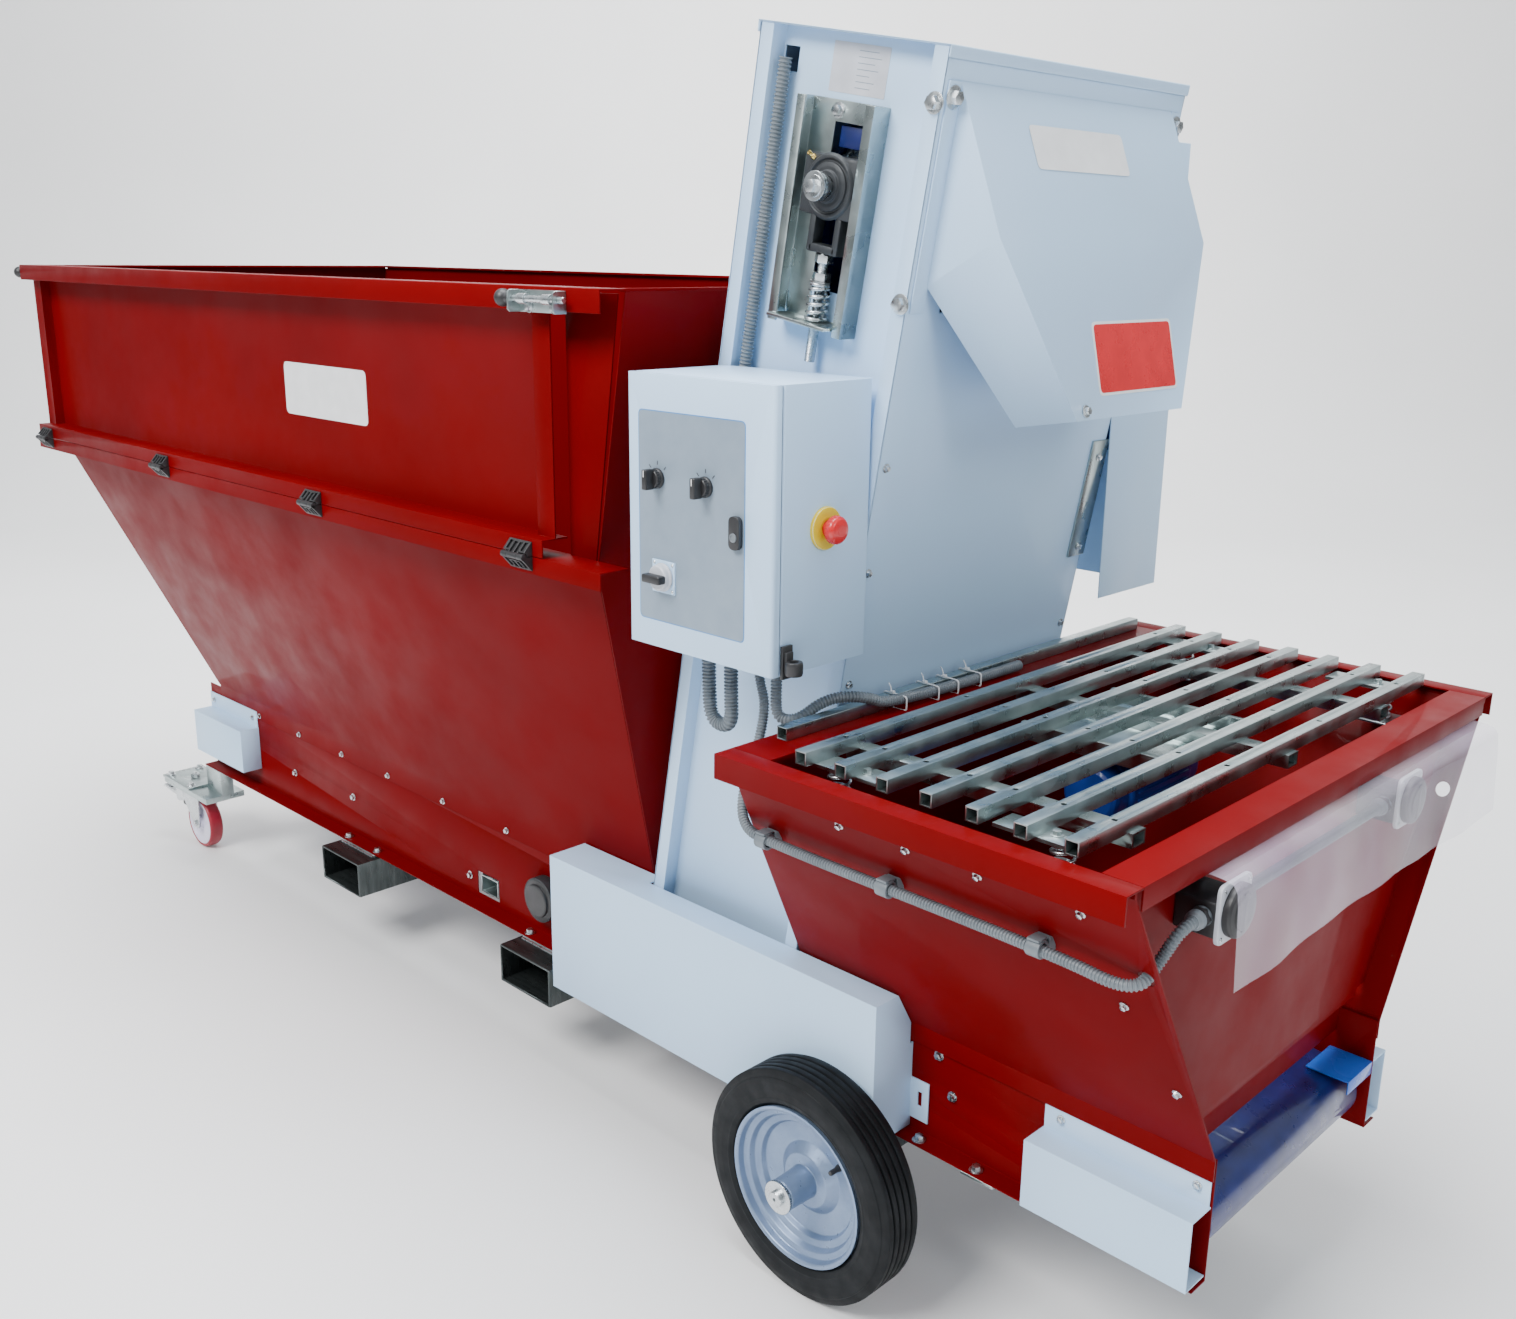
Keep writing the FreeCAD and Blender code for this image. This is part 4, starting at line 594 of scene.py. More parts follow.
CASTER_X, CASTER_Y, CASTER_TOP, CASTER_R = -1.424, 0.286, 0.166, 0.07
CASTER_TRAIL = 0.039
for side, name in SIDES:
    y = side * CASTER_Y
    hub = Vector((CASTER_X + CASTER_TRAIL, y, CASTER_R))
    fork = Piece("caster_housing_" + name)
    top = Vector((CASTER_X, y, CASTER_TOP))
    fork.block((CASTER_X - 0.05, y - 0.042, CASTER_TOP - 0.006),
               (CASTER_X + 0.05, y + 0.042, CASTER_TOP - 0.0005), "zinc", 0.0015)
    fork.lathe([(0, -0.006), (0.034, -0.006), (0.0362, -0.0075), (0.0362, -0.0095), (0.0345, -0.0105),
                (0.033, -0.0108), (0.0355, -0.0112), (0.0362, -0.0125), (0.035, -0.0148), (0, -0.0148)], top,
               Z, "zinc", 56)
    fork.lathe([(0, -0.002), (0.0059, -0.002), (0.0059, 0.0335), (0.0048, 0.0345), (0, 0.0345)], top, Z,
               "zinc", 24)
    fork.bolt(top + Z * 0.0213, Z, 0.019, washer=False, height=0.52)
    leg = [(CASTER_X - 0.03, 0.152), (CASTER_X - 0.026, 0.1505), (hub.x + 0.018, 0.1505),
           (hub.x + 0.024, 0.144), (hub.x + 0.019, 0.072), (hub.x + 0.013, 0.0585), (hub.x, 0.0545),
           (hub.x - 0.013, 0.0585), (hub.x - 0.02, 0.07), (CASTER_X - 0.024, 0.122)]
    for k in (-1, 1):
        inner, outer = y + k * 0.024, y + k * 0.027
        flat = min(inner, outer)
        plate_with_holes(fork, [(x, flat, z) for x, z in leg], [], Y, 0.003, "zinc", 0.0006)
        ear = [(CASTER_X - 0.07, 0.112), (CASTER_X - 0.058, 0.108), (CASTER_X - 0.024, 0.118),
               (CASTER_X - 0.024, 0.151), (CASTER_X - 0.064, 0.151), (CASTER_X - 0.072, 0.132)]
        plate_with_holes(fork, [(x, flat, z) for x, z in ear], [((CASTER_X - 0.062, flat, 0.118), 0.00606)],
                         Y, 0.003, "zinc", 0.0004)
        fork.bolt((hub.x, outer, hub.z), Y * k, 0.013, washer=False, height=0.4)
    fork.block((CASTER_X - 0.028, y - 0.026, 0.1445), (hub.x + 0.02, y + 0.026, 0.152), "zinc", 0.0015)
    fork.rod(0.0058, -0.0265, 0.0265, hub, Y, "zinc", 24)
    fork.done("caster_" + name, "zinc", "caster_fork_" + name)

    wheel = Piece("caster_tread_" + name)
    tread = mirrored([(0.0612, -0.0175), (0.0665, -0.0175), (0.0695, -0.012), (0.07, 0.0)])
    wheel.turned(tread, 0.002, hub, Y, "caster_wheel", 72)
    core = mirrored([(0.00606, -0.022), (0.017, -0.022), (0.018, -0.0175), (0.0185, -0.012),
                     (0.044, -0.0095), (0.054, -0.011), (0.056, -0.0168), (0.0611, -0.017)])
    wheel.turned(core, 0.0012, hub, Y, "caster_core", 72)
    wheel.done("caster_" + name + "_wheel", "caster_wheel", "caster_wheel_" + name)

    brake = Piece("caster_pedal_" + name)
    x = CASTER_X
    pedal = softened([(x - 0.17, 0.1185), (x - 0.163, 0.128), (x - 0.145, 0.1262), (x - 0.062, 0.124),
                      (x - 0.056, 0.119), (x - 0.062, 0.114), (x - 0.146, 0.119), (x - 0.16, 0.1215)], 0.003)
    brake.prism([(px, y - 0.0195, pz) for px, pz in pedal], Y * 0.039, "zinc", 0.0008)
    for k in range(4):  # grip ribs on the pedal
        brake.block((x - 0.158 + k * 0.008, y - 0.016, 0.1262), (x - 0.155 + k * 0.008, y + 0.016, 0.1288),
                    "zinc", 0.0006)
    brake.rod(0.0059, -0.0268, 0.0268, (x - 0.062, y, 0.118), Y, "zinc", 24)
    brake.block((x - 0.067, y - 0.012, 0.0925), (x - 0.033, y + 0.012, 0.1155), "cast_black", 0.002)
    brake.done("caster_" + name + "_brake", "zinc", "caster_brake_" + name)


# ---- flap hinges and latches
HINGE_FIRST_X, HINGE_STEP = -1.515, 0.652
HINGES = [HINGE_FIRST_X + HINGE_STEP * k for k in range(4)]
HINGE_Z, HINGE_PIN_Y, PIN_R = 1.121, -0.548, 0.0055
WEDGE_BACK, WEDGE_TOP, WEDGE_TIP = -0.5312, (-0.533, 0.0235), (-0.5535, 0.0006)


def hinge_outline(sign, full, slot):
    """Side view (y, z) of one half of a wedge hinge; the half below the pin has sign -1."""
    top, tip = Vector(WEDGE_TOP), Vector(WEDGE_TIP)
    low = [(WEDGE_BACK, 0.0006)]
    if full:
        low += [(tip.x, tip.y)]
        end = tip
    else:  # clears the other half's knuckle
        low += [(-0.5418, 0.0006), (-0.5422, 0.003), (-0.544, 0.0058), (-0.5476, 0.0072)]
        end = Vector(low[-1])
    slope = []
    if slot:
        inward = Vector((0.745, -0.667)) * 0.004
        a, b = end.lerp(top, 0.14), end.lerp(top, 0.86)
        slope = [tuple(a), tuple(a + inward), tuple(b + inward), tuple(b)]
    points = low + slope + [tuple(top), (WEDGE_BACK, 0.023)]
    return [(y, HINGE_Z + sign * z) for y, z in points]


def hinge_half(piece, x, sign):
    """One half of a hinge in slices along its pin, some of them with a slot in their slope."""
    slices = [(-0.028, -0.023, 0), (-0.023, -0.0145, 1), (-0.0145, -0.0127, 0), (-0.0123, -0.0105, 0),
              (-0.0105, -0.002, 1), (-0.002, 0.002, 0), (0.002, 0.0105, 1), (0.0105, 0.0123, 0),
              (0.0127, 0.0145, 0), (0.0145, 0.023, 1), (0.023, 0.028, 0)]
    for a, b, slot in slices:
        middle_part = abs(a + b) / 2 < 0.0125
        full = middle_part if sign > 0 else not middle_part
        outline = hinge_outline(sign, full, slot)
        radius = 0.0 if slot else 0.0005
        piece.prism([(x + a, y, z) for y, z in outline], X * (b - a), "black_plastic", radius)
    spans = [(-0.0123, 0.0123)] if sign > 0 else [(-0.028, -0.0127), (0.0127, 0.028)]
    for a, b in spans:
        bore = 0.00306 if sign > 0 else 0.0
        outline = [(bore, a), (PIN_R, a), (PIN_R, b), (bore, b)]
        piece.turned(outline, 0.0006, (x, HINGE_PIN_Y, HINGE_Z), X, "black_plastic", 28)


bases, leaves = Piece("hinge_bases"), Piece("hinge_leaves")
for x in HINGES:
    hinge_half(leaves, x, 1)
    hinge_half(bases, x, -1)
    bases.rod(0.003, -0.0275, 0.0275, (x, HINGE_PIN_Y, HINGE_Z), X, "zinc", 16)
bases.done("machine", "black_plastic", "flap_hinge_bases")
leaves.done("flap", "black_plastic", "flap_hardware")

LATCH_Z = 1.517
plates = Piece("latch_brackets")


def latch_ear(x, root, tip, low, rod_y):
    """A bracket's ear across the rod, with its free corners cut off."""
    corner = copysign(0.004, tip - root)
    ear = [(x, root, low), (x, tip - corner, low), (x, tip, low + 0.004), (x, tip, 1.526),
           (x, tip - corner, 1.53), (x, root, 1.53)]
    plate_with_holes(plates, ear, [((x, rod_y, LATCH_Z), 0.00512)], X, 0.003, "galvanised", 0.0004)


plates.block((0.457, -0.534, 1.497), (0.57, -0.5312, 1.53), "galvanised", 0.0008)
plates.block((-1.583, -0.5284, 1.5298), (-1.5, -0.507, 1.5324), "galvanised", 0.0008)
for x in (0.457, 0.567):
    latch_ear(x, -0.5325, -0.556, 1.497, -0.545)
for x in (-1.583, -1.503):
    latch_ear(x, -0.5284, -0.507, 1.501, -0.522)
for x in (0.484, 0.545):
    plates.bolt((x, -0.534, 1.505), -Y, 0.01, height=0.5)
plates.done("flap", "galvanised")
LATCHES = (("left", -0.522, -1.6055, -1.488, 0.006, [-1.545]),
           ("right", -0.545, 0.433, 0.582, 0.008, [0.474, 0.535]))
for name, rod_y, knob_x, end_x, collar_r, collars in LATCHES:
    latch = Piece("latch_knob_" + name)
    at = Vector((knob_x, rod_y, LATCH_Z))
    ball = [(0.0135 * sin(radians(a)), -0.0135 * cos(radians(a))) for a in range(0, 146, 8)]
    latch.lathe(ball + [(0.0072, 0.015), (0.0068, 0.0205), (0, 0.0205)], at, X, "black_plastic", 36)
    length = end_x - knob_x
    latch.lathe([(0, 0.012), (0.005, 0.012), (0.005, length - 0.001), (0.004, length), (0, length)], at, X,
                "zinc", 28)
    for x in collars:
        latch.turned([(0.0048, 0), (collar_r, 0), (collar_r, 0.018), (0.0048, 0.018)], 0.0006,
                     (x, rod_y, LATCH_Z), X, "zinc", 28)
    latch.done("latch_" + name, "black_plastic", "flap_latch_" + name)


# ---- take-up of the elevator's head shaft
def outside(side, near, far):
    """Two distances out from a side panel of the tower, as y values in order; inside it is negative."""
    return sorted(side * (RECESS_Y + out) for out in (near, far))


ROD_OUT = 0.017  # take-up screw, outside the side panel
housing = Piece("take_up_housings")
d, s = SHAFT_D, SHAFT_S
for side in (-1, 1):
    face = side * RECESS_Y
    tower_block(housing, d - 0.0535, d + 0.0535, s - 0.0418, s + 0.0418, *outside(side, 0.0042, 0.029),
                "cast_black", 0.0045)
    for a, b, low in ((-0.03, -0.018, 0.04), (0.018, 0.03, 0.04), (-0.026, 0.026, 0.0795)):
        band = outside(side, 0.0052, 0.0275)
        tower_block(housing, d + a, d + b, s + low, s + 0.0918, *band, "cast_black", 0.003)
    centre = on_tower(d, s, face)
    housing.turned([(0.0153, 0.004), (0.046, 0.0285), (0.0425, 0.033), (0.0385, 0.0335), (0.0365, 0.03),
                    (0.034, 0.03), (0.033, 0.033), (0.027, 0.0345), (0.0225, 0.0345), (0.0215, 0.038),
                    (0.0153, 0.038)], 0.001, centre, Y * side, "cast_black", 56)
    housing.turned([(0.033, 0.0302), (0.033, 0.0322), (0.023, 0.033), (0.023, 0.0302)], 0.0005, centre,
                   Y * side, "zinc", 56)
    nipple = on_tower(d - 0.036, s - 0.034, face + side * 0.0275)
    housing.lathe([(0, 0), (0.004, 0), (0.004, 0.004), (0.0028, 0.005), (0.0028, 0.009), (0.0036, 0.0105),
                   (0.003, 0.013), (0, 0.0135)], nipple, Y * side * 0.6 + UP * 0.5 - FORWARD * 0.5,
                  "yellow_zinc", 20)
    rod_y = face + side * ROD_OUT
    line, radii = thread_line(on_tower(d, s + 0.081, rod_y), on_tower(d, 0.4465, rod_y), 0.008)
    housing.sweep(line, radii, "zinc", 20)
    for drop in (0.0935, 0.1185):
        housing.hexagon(on_tower(d, s + drop, rod_y), -UP, 0.024, 0.0115)
    housing.lathe([(0.0083, 0), (0.0165, 0), (0.0165, 0.002), (0.0083, 0.002)],
                  on_tower(d, s + 0.132, rod_y), UP, "zinc", 32)
housing.done("take_up", "cast_black", "take_up_bearings")

spring = Piece("take_up_coils")
for side in (-1, 1):
    foot = on_tower(SHAFT_D, 0.3872 - 0.003, side * (RECESS_Y + ROD_OUT))
    spring.sweep(helix(foot, UP, 0.014, 0.0495, 6.0), 0.0029, "zinc", 12)
coils = spring.done(None, "zinc")
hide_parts("take_up_springs")
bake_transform(coils)

shaft_end = Piece("head_shaft_ends")
head = on_tower(SHAFT_D, SHAFT_S, 0)
at = head + Y * -0.33
shaft_end.turned([(0, -0.0015), (0.02, -0.0015), (0.0205, 0.0), (0.0205, 0.0035), (0, 0.0035)], 0.0006, at,
                 -Y, "zinc", 44)
shaft_end.bolt(at - Y * 0.0035, -Y, 0.017, height=0.5)
shaft_end.done("head_drum", "zinc")

belt_window = Piece("belt_tensioned_lap")  # belt seen through the slot, above the bearing
tower_block(belt_window, SHAFT_D - 0.024, SHAFT_D + 0.022, 0.119, 0.148, *outside(-1, -0.009, -0.005),
            "navy_belt", 0.0012)
belt_window.done("machine", "navy_belt")


# ---- cabinet
SELECTORS = (("left", 0.733, 1.272), ("right", 0.834, 1.271))
panel = Piece("cabinet_label")
FIELDS = (((0.6915, 0.9125, 1.06, 1.369, 0.009), 0.0003, "label_blue"),
          ((0.693, 0.911, 1.0615, 1.3675, 0.008), 0.00045, "label_grey"))
for edges, proud, colour in FIELDS:
    panel.prism([(x, DOOR_Y, z) for x, z in rounded(*edges, 6)], -Y * proud, colour, 0)
for _, x, z in SELECTORS:  # plain position ticks round the selectors
    for k in range(3):
        turn = radians(45 + 45 * k)
        ray = Vector((cos(turn), 0, sin(turn)))
        at = Vector((x, DOOR_Y - 0.0006, z)) + ray * 0.0225
        wide = Vector((-ray.z, 0, ray.x)) * 0.0007
        ray *= 0.003
        panel.prism([at - ray - wide, at + ray - wide, at + ray + wide, at - ray + wide], -Y * 0.0002,
                    "label_ink", 0)
panel.done("cabinet_door", "grey_plastic")

for name, x, z in SELECTORS:
    knob = Piece("selector_knob_" + name)
    at = Vector((x, DOOR_Y - 0.0008, z))
    knob.turned([(0.0, 0), (0.015, 0), (0.015, 0.0035), (0.0138, 0.005), (0.013, 0.011), (0.0118, 0.0122),
                 (0, 0.0122)], 0.0006, at, -Y, "black_plastic", 44)
    for k in range(22):  # knurl
        ray = Vector((cos(k * pi / 11), 0, sin(k * pi / 11)))
        foot = at + ray * 0.0133
        knob.sweep([foot - Y * 0.0048, foot - Y * 0.0112], 0.0008, "black_plastic", 6)
    knob.block((x - 0.005, DOOR_Y - 0.0278, z - 0.0148), (x + 0.005, DOOR_Y - 0.011, z + 0.0148),
               "black_plastic", 0.0022, 3)
    knob.block((x - 0.0008, DOOR_Y - 0.0281, z + 0.004), (x + 0.0008, DOOR_Y - 0.027, z + 0.0135),
               "white_plastic", 0.0002)
    knob.rod(0.0079, -0.001, -0.0135, at, -Y, "black_plastic", 28)
    knob.done("selector_" + name, "black_plastic", "selector_" + name)

switch = Piece("main_switch_handle")
x, z = 0.747, 1.129
at = Vector((x, DOOR_Y - 0.0038, z))
switch.turned([(0, 0), (0.0212, 0), (0.0212, 0.003), (0.0195, 0.005), (0.019, 0.011), (0.0172, 0.013),
               (0, 0.013)], 0.0008, at, -Y, "pale_plastic", 52)
switch.block((x - 0.019, DOOR_Y - 0.03, z - 0.0062), (x + 0.019, DOOR_Y - 0.015, z + 0.0062),
             "black_plastic", 0.0026, 3)
switch.rod(0.0059, 0.0, -0.0178, at, -Y, "black_plastic", 28)
switch.done("main_switch", "black_plastic", "main_switch")
corners = Piece("switch_plate_screws")
for a in (-0.0195, 0.0195):
    for b in (-0.0195, 0.0195):
        corners.screw(0.0024, 0.0006, 0.0014, 0.0014, 0.0009, (x + a, DOOR_Y - 0.003, z + b), -Y, 18)
corners.done("cabinet_door", "zinc")

lock = Piece("lock_oval")
oval = rounded(0.8875, 0.9085, 1.1915, 1.2385, 0.0104, 7)
lock.prism([(x, DOOR_Y - 0.0008, z) for x, z in oval], -Y * 0.008, "black_plastic", 0.0014, 3)
lock.turned([(0, 0.008), (0.0064, 0.008), (0.0064, 0.0098), (0.0052, 0.0102), (0.0046, 0.0086), (0, 0.0086)],
            0.0003, (0.898, DOOR_Y - 0.0005, 1.209), -Y, "grey_plastic", 32)
lock.rod(0.0069, -0.0002, -0.0095, (0.898, DOOR_Y - 0.0005, 1.215), -Y, "zinc", 24)
lock.block((0.89, DOOR_Y + 0.0082, 1.185), (0.906, DOOR_Y + 0.01, 1.2228), "zinc", 0.0004)
lock.done("door_lock", "black_plastic", "door_lock")

low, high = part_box("estop_button")
button_at = Vector((0.967, (low.y + high.y) / 2, (low.z + high.z) / 2))  # on the cabinet's side
ring = Piece("stop_collar")
ring.turned([(0.0118, 0.0002), (0.0304, 0.0002), (0.0306, 0.004), (0.029, 0.0058), (0.018, 0.0058),
             (0.0165, 0.0061), (0.0118, 0.0061)], 0.0001, button_at, X, "yellow_plastic", 60)
ring.done("machine", "red_plastic")
button = Piece("stop_mushroom")
button.turned([(0, 0.032), (0.009, 0.0318), (0.016, 0.03), (0.0192, 0.0265), (0.02, 0.0225), (0.0196, 0.017),
               (0.018, 0.015), (0.013, 0.0145), (0.0113, 0.014), (0.0113, -0.0118), (0, -0.0118)], 0.0012,
              button_at, X, "red_plastic", 60)
for k in range(24):  # grip flutes
    ray = Vector((0, cos(k * pi / 12), sin(k * pi / 12)))
    foot = button_at + ray * 0.0194
    button.sweep([foot + X * 0.0172, foot + X * 0.024], 0.0009, "red_plastic", 6)
button.done("estop_button", "red_plastic", "estop_button")

clip = Piece("cable_holder")
clip.block((0.9672, -0.4845, 1.016), (0.9725, -0.464, 1.064), "black_plastic", 0.0012)
clip.turned(mirrored([(0.0065, -0.01), (0.012, -0.01), (0.013, -0.006)]), 0.001, (0.985, -0.475, 1.034), Z,
            "black_plastic", 32)
clip.block((0.9722, -0.482, 1.026), (0.978, -0.468, 1.056), "black_plastic", 0.0015)
clip.done("machine", "black_plastic")

seam = Piece("cabinet_seal")  # rubber seal between body and door
for x, low_z, high_z in ((0.6705, 1.0235, 1.0262), (0.6705, 1.4138, 1.4165), (0.961, 1.0235, 1.4165)):
    seam.block((x, -0.4862, low_z), (0.9635, -0.4852, high_z), "black_plastic", 0.0003)
seam.done("machine", "black_plastic")


# ---- connector heads and curtain
END_X, HEAD_X = 1.527, 1.584
heads = Piece("connector_heads")
for y in (-0.335, 0.195):
    heads.block((END_X + 0.0002, y - 0.034, 0.8), (HEAD_X, y + 0.034, 0.846), "black_plastic", 0.003, 3)
    outline = rounded(y - 0.039, y + 0.039, 0.793, 0.871, 0.012, 6)
    heads.prism([(HEAD_X, py, pz) for py, pz in outline], X * 0.006, "pale_plastic", 0.0012, 2)
    dome = Vector((HEAD_X + 0.006, y, 0.832))
    heads.turned([(0, 0.0), (0.035, 0.0), (0.035, 0.0085), (0.0325, 0.0112), (0.024, 0.012),
                  (0.0225, 0.0138), (0, 0.014)], 0.0012, dome, X, "black_plastic", 60)
    heads.block((HEAD_X + 0.018, y - 0.0055, 0.8065), (HEAD_X + 0.02, y + 0.0055, 0.8575), "black_plastic",
                0.001)
    for a in (-0.031, 0.031):
        for z in (0.801, 0.863):
            heads.screw(0.0034, 0.0008, 0.0022, 0.0018, 0.0012, (HEAD_X + 0.006, y + a, z), X, 20)
for y, sign in ((-0.369, -1), (-0.301, 1), (0.161, -1)):
    foot = Vector((1.566, y, 0.826))
    heads.turned([(0, -0.002), (0.013, -0.002), (0.013, 0.004), (0.011, 0.006), (0.011, 0.011),
                  (0.0128, 0.0125), (0.0122, 0.022), (0.0092, 0.024), (0.0092, 0.0258), (0, 0.0258)], 0.0008,
                 foot, Y * sign, "grey_plastic", 40)
    heads.hexagon(foot + Y * sign * 0.0035, Y * sign, 0.0245, 0.007, "black_plastic")
heads.done("machine", "grey_plastic", "junction_heads")

drape = bpy.data.meshes.new("curtain_film")
profile = [(1.5308, 0.8838), (1.56, 0.8832), (1.59, 0.8815), (1.603, 0.8775), (1.6082, 0.869),
           (1.6105, 0.85), (1.612, 0.825), (1.6132, 0.8), (1.6143, 0.775), (1.6152, 0.756), (1.6158, 0.742)]
bm = bmesh.new()
COLUMNS, CURTAIN_START, CURTAIN_WIDE = 90, -0.372, 0.859
rows = []
for k in range(COLUMNS + 1):
    y = CURTAIN_START + CURTAIN_WIDE * k / COLUMNS
    wave = sin(y * 17 + 0.6) * 0.6 + sin(y * 41) * 0.4
    row = []
    for j, (x, z) in enumerate(profile):
        loose = max(0.0, (j - 3) / (len(profile) - 4))
        lift = 0.01 * loose * (0.5 + 0.5 * sin(y * 9.5 + 1.2)) * (1 if j > 7 else 0.4)
        row.append(bm.verts.new((x + wave * 0.0035 * loose, y, z + lift)))
    rows.append(row)
for one, two in zip(rows, rows[1:]):
    join_rows(bm, one, two, False)
for face in bm.faces:
    face.smooth = True
bm.to_mesh(drape)
bm.free()
drape.materials.append(M["clear_pvc"])
film = bpy.data.objects.new("curtain_film", drape)
bpy.context.scene.collection.objects.link(film)
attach(film, "machine")
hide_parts("curtain")
strip = Piece("curtain_clamp")
strip.block((1.5306, -0.316, 0.85), (1.5336, 0.477, 0.8815), "galvanised", 0.0006)
for y in (-0.29, -0.07, 0.18, 0.44):
    strip.bolt((1.5336, y, 0.866), X, 0.01, height=0.5)
strip.done("machine", "galvanised")


# ---- conduits
ROUTE_NEAR = [(0.812, -0.372, 1.02), (0.812, -0.372, 0.975), (0.85, -0.385, 0.915), (0.872, -0.483, 0.775),
              (0.98, -0.483, 0.768), (1.44, -0.483, 0.768), (1.548, -0.483, 0.757), (1.548, -0.432, 0.78),
              (1.566, -0.42, 0.826), (1.566, -0.393, 0.826)]
ROUTE_LOOP = [(0.735, -0.4, 1.02), (0.735, -0.4, 0.94), (0.741, -0.4, 0.884), (0.787, -0.4, 0.884),
              (0.784, -0.4, 0.94), (0.784, -0.4, 1.02)]
ROUTE_DROP = [(0.88, -0.4, 1.02), (0.88, -0.4, 0.965), (0.88, -0.4, 0.922), (0.914, -0.392, 0.922),
              (0.926, -0.34, 0.95), (0.958, -0.29, 0.95), (0.964, -0.235, 0.9235), (0.964, 0.1, 0.9235)]
ROUTE_LINK = [(1.566, -0.275, 0.826), (1.566, -0.07, 0.826), (1.566, 0.137, 0.826)]
ROUTE_RISER = [on_tower(0.046, down, -0.288) for down in (0.042, 0.3, 0.56)]
hoses = Piece("corrugated_conduits")
for route, spacing, radius in ((ROUTE_NEAR, 0.0012, 0.008), (ROUTE_DROP, 0.0013, 0.0088),
                               (ROUTE_LINK, 0.0012, 0.008), (ROUTE_RISER, 0.0014, 0.0098)):
    corrugated(hoses, route_line(route, spacing), radius)
for x, y in ((0.735, -0.4), (0.784, -0.4), (0.88, -0.4), (0.812, -0.372)):  # glands under the cabinet
    hoses.hexagon((x, y, 1.0195), -Z, 0.029, 0.008, "grey_plastic")
    hoses.turned([(0, 0), (0.0135, 0), (0.0135, 0.012), (0.0115, 0.016), (0, 0.016)], 0.001, (x, y, 1.013),
                 -Z, "grey_plastic", 32)
for x in (0.94, 1.168, 1.41):  # saddle clips on the return hopper's side
    at = Vector((x, -0.483, 0.768))
    hoses.turned([(0.0081, -0.01), (0.0125, -0.01), (0.0125, 0.01), (0.0081, 0.01)], 0.001, at, X,
                 "grey_plastic", 36)
    hoses.block((x - 0.011, -0.471, 0.756), (x + 0.011, -0.456, 0.78), "grey_plastic", 0.0015)
    hoses.block((x - 0.009, -0.493, 0.779), (x + 0.009, -0.473, 0.7825), "grey_plastic", 0.001)
hoses.done("machine", "grey_plastic", "conduits", sharp=25)
loop_line = route_line(ROUTE_LOOP, 0.0014)
hose_loop = Piece("corrugated_loop")
corrugated(hose_loop, loop_line, 0.0113)
loop = hose_loop.done("machine", "grey_plastic", "conduit_loop", sharp=25)

ties = Piece("cable_ties")
for y in (-0.21, -0.13, -0.08, -0.02):
    outline = softened([(0.9285, 0.9122), (0.9745, 0.9122), (0.9745, 0.9345), (0.95, 0.9352),
                        (0.9285, 0.9352)], 0.005, steps=5)
    ring_line = [Vector((px, y, pz)) for px, pz in outline]
    ties.sweep(ring_line + [ring_line[0], ring_line[1]], 0.0013, "white_plastic", 8)
    ties.block((0.942, y - 0.003, 0.9342), (0.9495, y + 0.003, 0.939), "white_plastic", 0.0008)
    ties.sweep([Vector((0.944, y, 0.937)), Vector((0.94, y + 0.002, 0.944)),
                Vector((0.934, y + 0.005, 0.948))], 0.0011, "white_plastic", 6)
ties.done("machine", "grey_plastic")


# ---- grid springs and vibrator
SPRING_Y = 0.47
for k, x in enumerate((1.07, 1.43)):
    for side in (-1, 1):
        piece = Piece("grid_coil_%d" % (2 * k + (side > 0)))
        foot = Vector((x, side * SPRING_Y, 0.8616))
        piece.sweep(helix(foot, Z, 0.015, 0.046, 5.0), 0.0024, "zinc", 12)
        coil = piece.done(None, "zinc")
        if k == 0 and side < 0:
            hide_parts("grid_springs")
        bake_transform(coil)

motor = Piece("vibrator_body")
at = Vector((1.25, 0, 0.827))
casing = mirrored([(0, -0.1248), (0.038, -0.1245), (0.044, -0.12), (0.0458, -0.112), (0.0458, -0.087),
                   (0.05, -0.0845), (0.0518, -0.08)])
motor.turned(casing, 0.0015, at, Y, "blue_motor", 64)
for k in range(26):  # cooling fins
    turn = radians(-160 + k * 320 / 25)
    ray = Vector((sin(turn), 0, -cos(turn)))
    foot = at + ray * 0.0535
    motor.sweep([foot - Y * 0.072, foot + Y * 0.072], 0.0016, "blue_motor", 6)
motor.block((1.181, -0.0545, 0.8665), (1.319, 0.0545, 0.8888), "blue_motor", 0.003)
motor.block((1.196, -0.0345, 0.762), (1.244, 0.0345, 0.798), "blue_motor", 0.003)
for y in (-0.04, 0.04):
    for x in (1.1935, 1.3065):
        motor.bolt((x, y, 0.8668), -Z, 0.015)
motor.done("grid", "blue_motor", "vibrator_motor")


# ---- plates, plain labels and small hardware
def plain_label(name, centre, across, up, wide, tall, material, radius):
    """A blank plate lying on a surface; returns it with its across, up and outward directions."""
    piece = Piece(name)
    across, up = Vector(across).normalized(), Vector(up).normalized()
    normal = across.cross(up)
    outline = rounded(-wide / 2, wide / 2, -tall / 2, tall / 2, radius)
    place = [Vector(centre) + across * a + up * b + normal * 0.0001 for a, b in outline]
    piece.prism(place, normal * 0.0004, material, 0)
    return piece, across, up, normal


label = plain_label("flap_label", (-0.232, -0.4825, 1.322), X, Z, 0.3, 0.1, "white_plastic", 0.012)[0]
label.done("flap", "white_paint")

